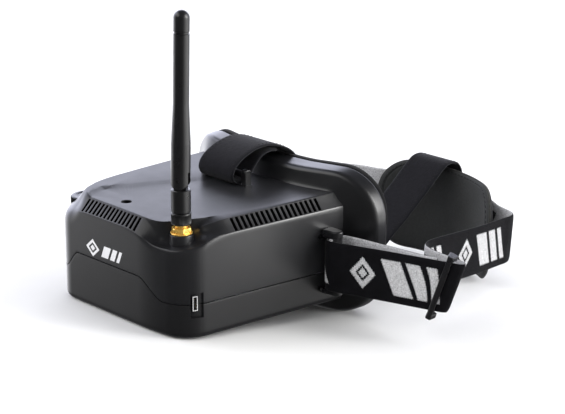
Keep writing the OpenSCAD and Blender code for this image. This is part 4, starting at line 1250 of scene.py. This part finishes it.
def headband():
    R = [(117.4, 109.9), (112, 108.3), (90, 105.8), (73, 103.6)] + arc(66.4, 96.2, 6.2, 108, 185, 6) + [(60.0, 93.2), (60.4, 91.0), (61.8, 89.3), (64.2, 88.5), (67.2, 89.2), (90, 97.2), (112, 104.1), (120, 106.6),
        (126, 108.4), (129.4, 109.5), (131, 110.7), (131.2, 112), (129.6, 113.2), (120, 115.4), (109.6, 118.2), (101.4, 121.8), (96.6, 127.2), (94, 134), (91, 148), (84, 182), (76.8, 209),
        (75.2, 216), (72.4, 221.8), (67.6, 225.4), (62, 227.0), (56.5, 228.2), (51.2, 230.4)]
    B = arc(5.6, 155.6, 87.2, 62, 116, 10)
    Lf = [(43.4, 229.4), (51, 227.4), (60, 222), (73, 210), (86, 190), (95.5, 168), (100, 148), (101, 136), (99.4, 128.6), (86, 112.2), (78, 102.6)] + arc(65.5, 93.55, 3.7, 320, 140, 10)[0:] + [(72, 104.6), (84, 117.5), (88.5, 122.8)]
    P2 = R + B + [(-x, y) for x, y in Lf]
    z = []
    for i, (x, y) in enumerate(P2):
        if i < len(R):
            z.append(24.0 - max(0.0, y - 119.0) * 0.1175)
        elif i < len(R) + len(B):
            z.append(13.4)
        else:
            z.append(24.0 - max(0.0, (y - 129)) * 0.113)
    P3 = np.array([(x, y, zz) for (x, y), zz in zip(P2, z)])
    P = spline(P3, 0.9)
    # soften the height steps only
    kz = np.ones(41) / 41
    P[:, 2] = np.convolve(np.pad(P[:, 2], 20, mode="edge"), kz, mode="valid")
    W = np.tile(np.array((0.0, 0.0, 1.0)), (len(P), 1))
    W[:, 1] = np.clip((P[:, 1] - 121) / 60, 0, 1) * 0.10
    # the fold lies askew in the slider
    wt = sstep(110, 124, P[:, 0]) * (P[:, 0] > 0)
    skew = wt[:, None] * 0.344 * np.array((0.957, 0.29, 0.0))
    o, ln, P, W, Nn = strip("headband", P, W, 27.0, 1.5, [M_BAND, M_BANDIN, M_BANDEDGE], skew=skew)
    return o, ln, P, W, Nn


hb, hb_len, hbP, hbW, hbN = headband()
put(hb, "band_black", "loop_right", "turn_right", "side_right", "headband_back", "side_left", "loop_left")


def top_strap():
    F = [(102.5, 72.3), (97, 72.7), (91.4, 70.9), (87.4, 67.3), (84, 63.6), (81, 60.6), (78, 59.3), (74.6, 59.3), (72.2, 60.9), (71.3, 63.6), (72.2, 66.7), (74.7, 69.5), (79.6, 72.6),
         (87.2, 75.3), (94, 76.2), (99.2, 75.7), (103.8, 74.4), (107.6, 72.8), (111, 70.9), (113.8, 68.7), (116, 65.8), (117.8, 61.6), (121.4, 52), (130, 35), (144.5, 15), (153, 3.5), (163, -1.6),
         (174, 0.8), (186.8, 9.3), (198.4, 17.3), (206.5, 23.5), (213.8, 29.2), (220, 34.3), (225.4, 38.6), (229.2, 40.9), (233.6, 41.5), (238.2, 40.2), (241.3, 36.2), (242.0, 29), (241.7, 21)]
    P3 = [(-4.2 + 7.2 * float(sstep(100, 170, y)), y, z) for y, z in F]
    P = spline(P3, 1.0)
    W = np.tile(np.array((1.0, 0.0, 0.0)), (len(P), 1))
    o, ln, P, W, Nn = strip("top_strap", P, W, 28.0, 1.5, [M_TOP, M_TOP, M_TOPEDGE], bulge=0.2, m=19)
    return o, ln, P, W, Nn


ts, ts_len, tsP, tsW, tsN = top_strap()
put(ts, "top_strap_black", "top_strap_front", "top_strap_rear")


def stitches(name, P, U, N, off, length=2.2, gap=1.1, r=0.2, slot="band_black"):
    """Row of thread stitches lying on a surface along points P."""
    s = np.r_[0, np.cumsum(np.linalg.norm(np.diff(P, axis=0), axis=1))]
    bm = bmesh.new()
    x = 0.4
    while x + length < s[-1]:
        q = np.linspace(x, x + length, 5)
        pts = np.stack([np.interp(q, s, P[:, k]) for k in range(3)], 1)
        nn = np.stack([np.interp(q, s, N[:, k]) for k in range(3)], 1)
        lift = off + r * np.array([-0.9, 0.35, 0.6, 0.35, -0.9])
        add_tube(bm, pts + nn * lift[:, None], np.array([0.5, 0.95, 1, 0.95, 0.5]) * r, 6)
        x += length + gap
    return put(bm_obj(name, bm, [M_THREAD]), slot)


# stitched lines along both edges of the top strap
i0 = int(np.argmin(np.abs(tsP[:, 1] - 73) + 10 * (tsP[:, 2] < 66)))
for e in (-1, 1):
    P = tsP[i0:] + tsW[i0:] * (e * 11.6)
    stitches("top_strap_stitch_%s" % ("a" if e < 0 else "b"), P, None, -tsN[i0:], 0.72, 1.6, 0.9, 0.16, "top_strap_black")

# ------------------------------------------------------------------ head pad
PADM = Matrix.Rotation(math.radians(-6.8), 3, "Z") @ Matrix.Rotation(math.radians(-2.7), 3, "X")
PADC = Vector((17.4, 237.4, -17.4))


def pad_pt(x, z, depth):
    """Point on the pad: chord x, height z, depth inwards from the back face."""
    a = math.asin(max(-0.999, min(0.999, x / 84)))
    r = 84 - depth
    q = PADM @ Vector((r * math.sin(a), -84 + r * math.cos(a), z))
    return PADC + q


def pad_outline(n_side=16, n_c=12):
    P = []
    hw = 51.8
    for cx, cz, r, a0 in ((hw - 16, 16, 16, -90), (hw - 20, 33.4, 20, 0), (-hw + 20, 33.4, 20, 90), (-hw + 16, 16, 16, 180)):
        for k in range(n_c + 1):
            t = math.radians(a0 + 90 * k / n_c)
            P.append((cx + r * math.cos(t), cz + r * math.sin(t)))
    P = np.array(P)
    d = np.vstack([P, P[:1]])
    s = np.r_[0, np.cumsum(np.linalg.norm(np.diff(d, axis=0), axis=1))]
    q = np.linspace(0, s[-1], 161)[:-1]
    return np.stack([np.interp(q, s, d[:, k]) for k in range(2)], 1)


def head_pad():
    O = pad_outline()
    c = np.array((0.0, 26.7))
    n = len(O)
    rho = np.array([0.0, 0.15, 0.3, 0.45, 0.6, 0.72, 0.81, 0.87, 0.905, 0.92, 0.93, 0.936, 0.942, 0.948, 0.956, 0.966, 0.978, 0.988, 0.995, 1.0])
    V, F, mi = [], [], []

    def half(r):
        crown = 2.3 * (1 - r ** 22) ** 0.5 + 0.9 * (1 - r * r) if r < 1 else 0.0
        seam = 0.42 * math.exp(-((r - 0.939) / 0.006) ** 2)
        return max(0.0, crown - seam)
    for side in (0, 1):
        for r in rho:
            if side == 1 and r == 1.0:
                continue
            for k in range(n):
                x, z = c + (O[k] - c) * r
                puff = 0.35 * math.sin(x * 0.21 + 0.6) * math.sin(z * 0.24) * (1 - r)
                h = half(r)
                dep = 3.5 + (h + puff if side == 0 else -h + 0.5 * puff)
                V.append(pad_pt(x, z, dep))
    m0 = len(rho)
    for i in range(m0 - 1):
        for k in range(n):
            F.append((i * n + k, i * n + (k + 1) % n, (i + 1) * n + (k + 1) % n, (i + 1) * n + k))
            mi.append(0)
    base = m0 * n
    for i in range(m0 - 1):
        for k in range(n):
            a, b = base + i * n + k, base + i * n + (k + 1) % n
            if i == m0 - 2:
                d, e = (m0 - 1) * n + k, (m0 - 1) * n + (k + 1) % n
            else:
                d, e = base + (i + 1) * n + k, base + (i + 1) * n + (k + 1) % n
            F.append((a, d, e, b))
            mi.append(1)
    V = np.array([tuple(v) for v in V])
    o = mesh_obj("head_pad_padded", V, F, [M_PAD, M_PADBACK], mi)
    bmm = bmesh.new()
    bmm.from_mesh(o.data)
    bmesh.ops.remove_doubles(bmm, verts=bmm.verts, dist=1e-6)
    bmesh.ops.recalc_face_normals(bmm, faces=bmm.faces)
    bmm.to_mesh(o.data)
    bmm.free()
    o.data.update()
    return o, O


pad, padO = head_pad()
put(pad, "pad_grey", "head_pad")
bm = bmesh.new()
cpad = np.array((0.0, 26.7))
add_tube(bm, [tuple(pad_pt(*(cpad + (p - cpad) * 0.996), 3.5)) for p in padO], 0.62, 10, closed=True)
put(bm_obj("head_pad_piping", bm, [M_PIPE]), "pad_grey")
pp, pn = [], []
for p in np.vstack([padO, padO[:1]]):
    q = cpad + (p - cpad) * 0.958
    a = np.array(pad_pt(q[0], q[1], 3.5 + 1.86))
    b = np.array(pad_pt(q[0], q[1], 3.5 + 3.0))
    pp.append(a)
    pn.append((b - a) / np.linalg.norm(b - a))
stitches("head_pad_stitch", np.array(pp), None, np.array(pn), 0.1, 2.0, 1.1, 0.19, "pad_grey")

# ------------------------------------------------------------------ floor, light, camera
SL = -0.0849
bm = bmesh.new()
c = [(-3000, -3000), (3000, -3000), (3000, 3000), (-3000, 3000)]
bm.faces.new([bm.verts.new(Vector((x, y, -0.12 + SL * (y - 4)))) for x, y in c])
M_FLOOR, nt, b = new_mat("floor_paper")
nt.links.new(mixc(nt, rng(nt, obj_noise(nt, 30.0, 3.0), 0, 1), (0.685, 0.685, 0.685, 1), (0.705, 0.705, 0.705, 1)), b.inputs["Base Color"])
b.inputs["Roughness"].default_value = 0.9
b.inputs["Specular IOR Level"].default_value = 0.1
floor = bm_obj("floor", bm, [M_FLOOR], normals=False)

world = bpy.data.worlds.new("studio")
SC.world = world
world.use_nodes = True
wt = world.node_tree
bg = wt.nodes["Background"]
tc = wt.nodes.new("ShaderNodeTexCoord")
sep = wt.nodes.new("ShaderNodeSeparateXYZ")
wt.links.new(tc.outputs["Generated"], sep.inputs[0])


def wmap(v, a, b, c, d):
    n = nd(wt, "ShaderNodeMapRange", {"interpolation_type": "SMOOTHSTEP"}, i1=a, i2=b, i3=c, i4=d)
    wt.links.new(v, n.inputs[0])
    return n.outputs[0]


# reflections: bright behind and on the far right, a soft box on the left, dark on the near side
X, Y, Z = sep.outputs[0], sep.outputs[1], sep.outputs[2]


def mul(*v):
    r = v[0]
    for q in v[1:]:
        r = math_n(wt, "MULTIPLY", r, q)
    return r


def add(*v):
    r = v[0]
    for q in v[1:]:
        r = math_n(wt, "ADD", r, q)
    return r


hor = math_n(wt, "SQRT", math_n(wt, "MAXIMUM", math_n(wt, "SUBTRACT", 1.0, mul(Z, Z)), 0.0004))
near = math_n(wt, "DIVIDE", math_n(wt, "MULTIPLY_ADD", X, 0.737, mul(Y, -0.675)), hor)
side = math_n(wt, "DIVIDE", math_n(wt, "MULTIPLY_ADD", X, 0.675, mul(Y, 0.737)), hor)
left = add(0.08, wmap(near, -0.22, 0.08, 1.55, 0.0), wmap(near, -0.85, -0.3, 1.2, 0.0))
right = add(0.12, mul(wmap(near, -0.5, -0.3, 0.0, 1.0), wmap(near, -0.04, 0.12, 1.0, 0.0)), mul(wmap(near, 0.42, 0.95, 2.4, 0.0), wmap(near, -0.55, -0.2, 0.0, 1.0)), wmap(near, -0.8, -0.3, 1.2, 0.0))
pick = wmap(side, -0.3, 0.3, 0.0, 1.0)
low = add(mul(left, math_n(wt, "SUBTRACT", 1.0, pick)), mul(right, pick))
body = mul(low, wmap(Z, 0.36, 0.62, 1.0, 0.05), wmap(Z, -0.48, -0.28, 0.08, 1.0))
box = mul(wmap(side, -0.9, -0.55, 1.0, 0.0), wmap(Z, 0.40, 0.52, 0.0, 1.0), wmap(Z, 0.74, 0.86, 3.2, 0.0))
strip_r = mul(wmap(near, 0.2, 0.5, 13.0, 0.0), wmap(near, -0.06, 0.08, 0.0, 1.0), wmap(side, 0.5, 0.8, 0.0, 1.0), wmap(Z, -0.05, 0.08, 0.0, 1.0), wmap(Z, 0.56, 0.66, 1.0, 0.0))
rear = mul(wmap(near, -0.95, -0.6, 1.3, 0.0), wmap(Z, 0.0, 0.2, 0.0, 1.0), wmap(Z, 0.36, 0.62, 1.0, 0.0))
wt.links.new(add(body, rear, box, strip_r, 0.05), bg.inputs["Strength"])
cool = mul(wmap(near, -0.75, 0.1, 1.0, 0.0), wmap(Z, -0.25, 0.1, 0.3, 1.0))
wt.links.new(mixc(wt, cool, (1.0, 0.995, 0.985, 1), (0.90, 0.925, 1.10, 1)), bg.inputs["Color"])


def area(name, loc, look, size, power, col=(1, 1, 1), sy=None):
    d = bpy.data.lights.new(name, "AREA")
    d.shape = "RECTANGLE"
    d.size = size
    d.size_y = sy or size
    d.energy = power
    d.color = col
    o = bpy.data.objects.new(name, d)
    SC.collection.objects.link(o)
    o.location = loc
    v = Vector(look) - Vector(loc)
    o.rotation_euler = v.to_track_quat("-Z", "Y").to_euler()
    return o


for o in (area("key_left", (-1.1, -0.7, 0.95), (0.0, 0.0, 0.03), 1.0, 5.0), area("overhead", (-0.05, 0.6, 1.5), (0, 0, 0), 2.4, 27.0), area("fill_front", (0.5, -1.2, 0.9), (0, 0, 0), 1.4, 9.0)):
    o.visible_glossy = False
floor.visible_glossy = False

cam = bpy.data.cameras.new("camera")
co = bpy.data.objects.new("camera", cam)
SC.collection.objects.link(co)
co.location = (0.71334, -0.58284, 0.33523)
co.rotation_euler = (math.radians(90 - 17.214), 0, math.radians(47.53))
cam.sensor_width = 36.0
cam.lens = 36.0 * 1852.37 / 565
cam.clip_start = 0.01
cam.clip_end = 20
SC.camera = co
SC.view_settings.view_transform = "Standard"
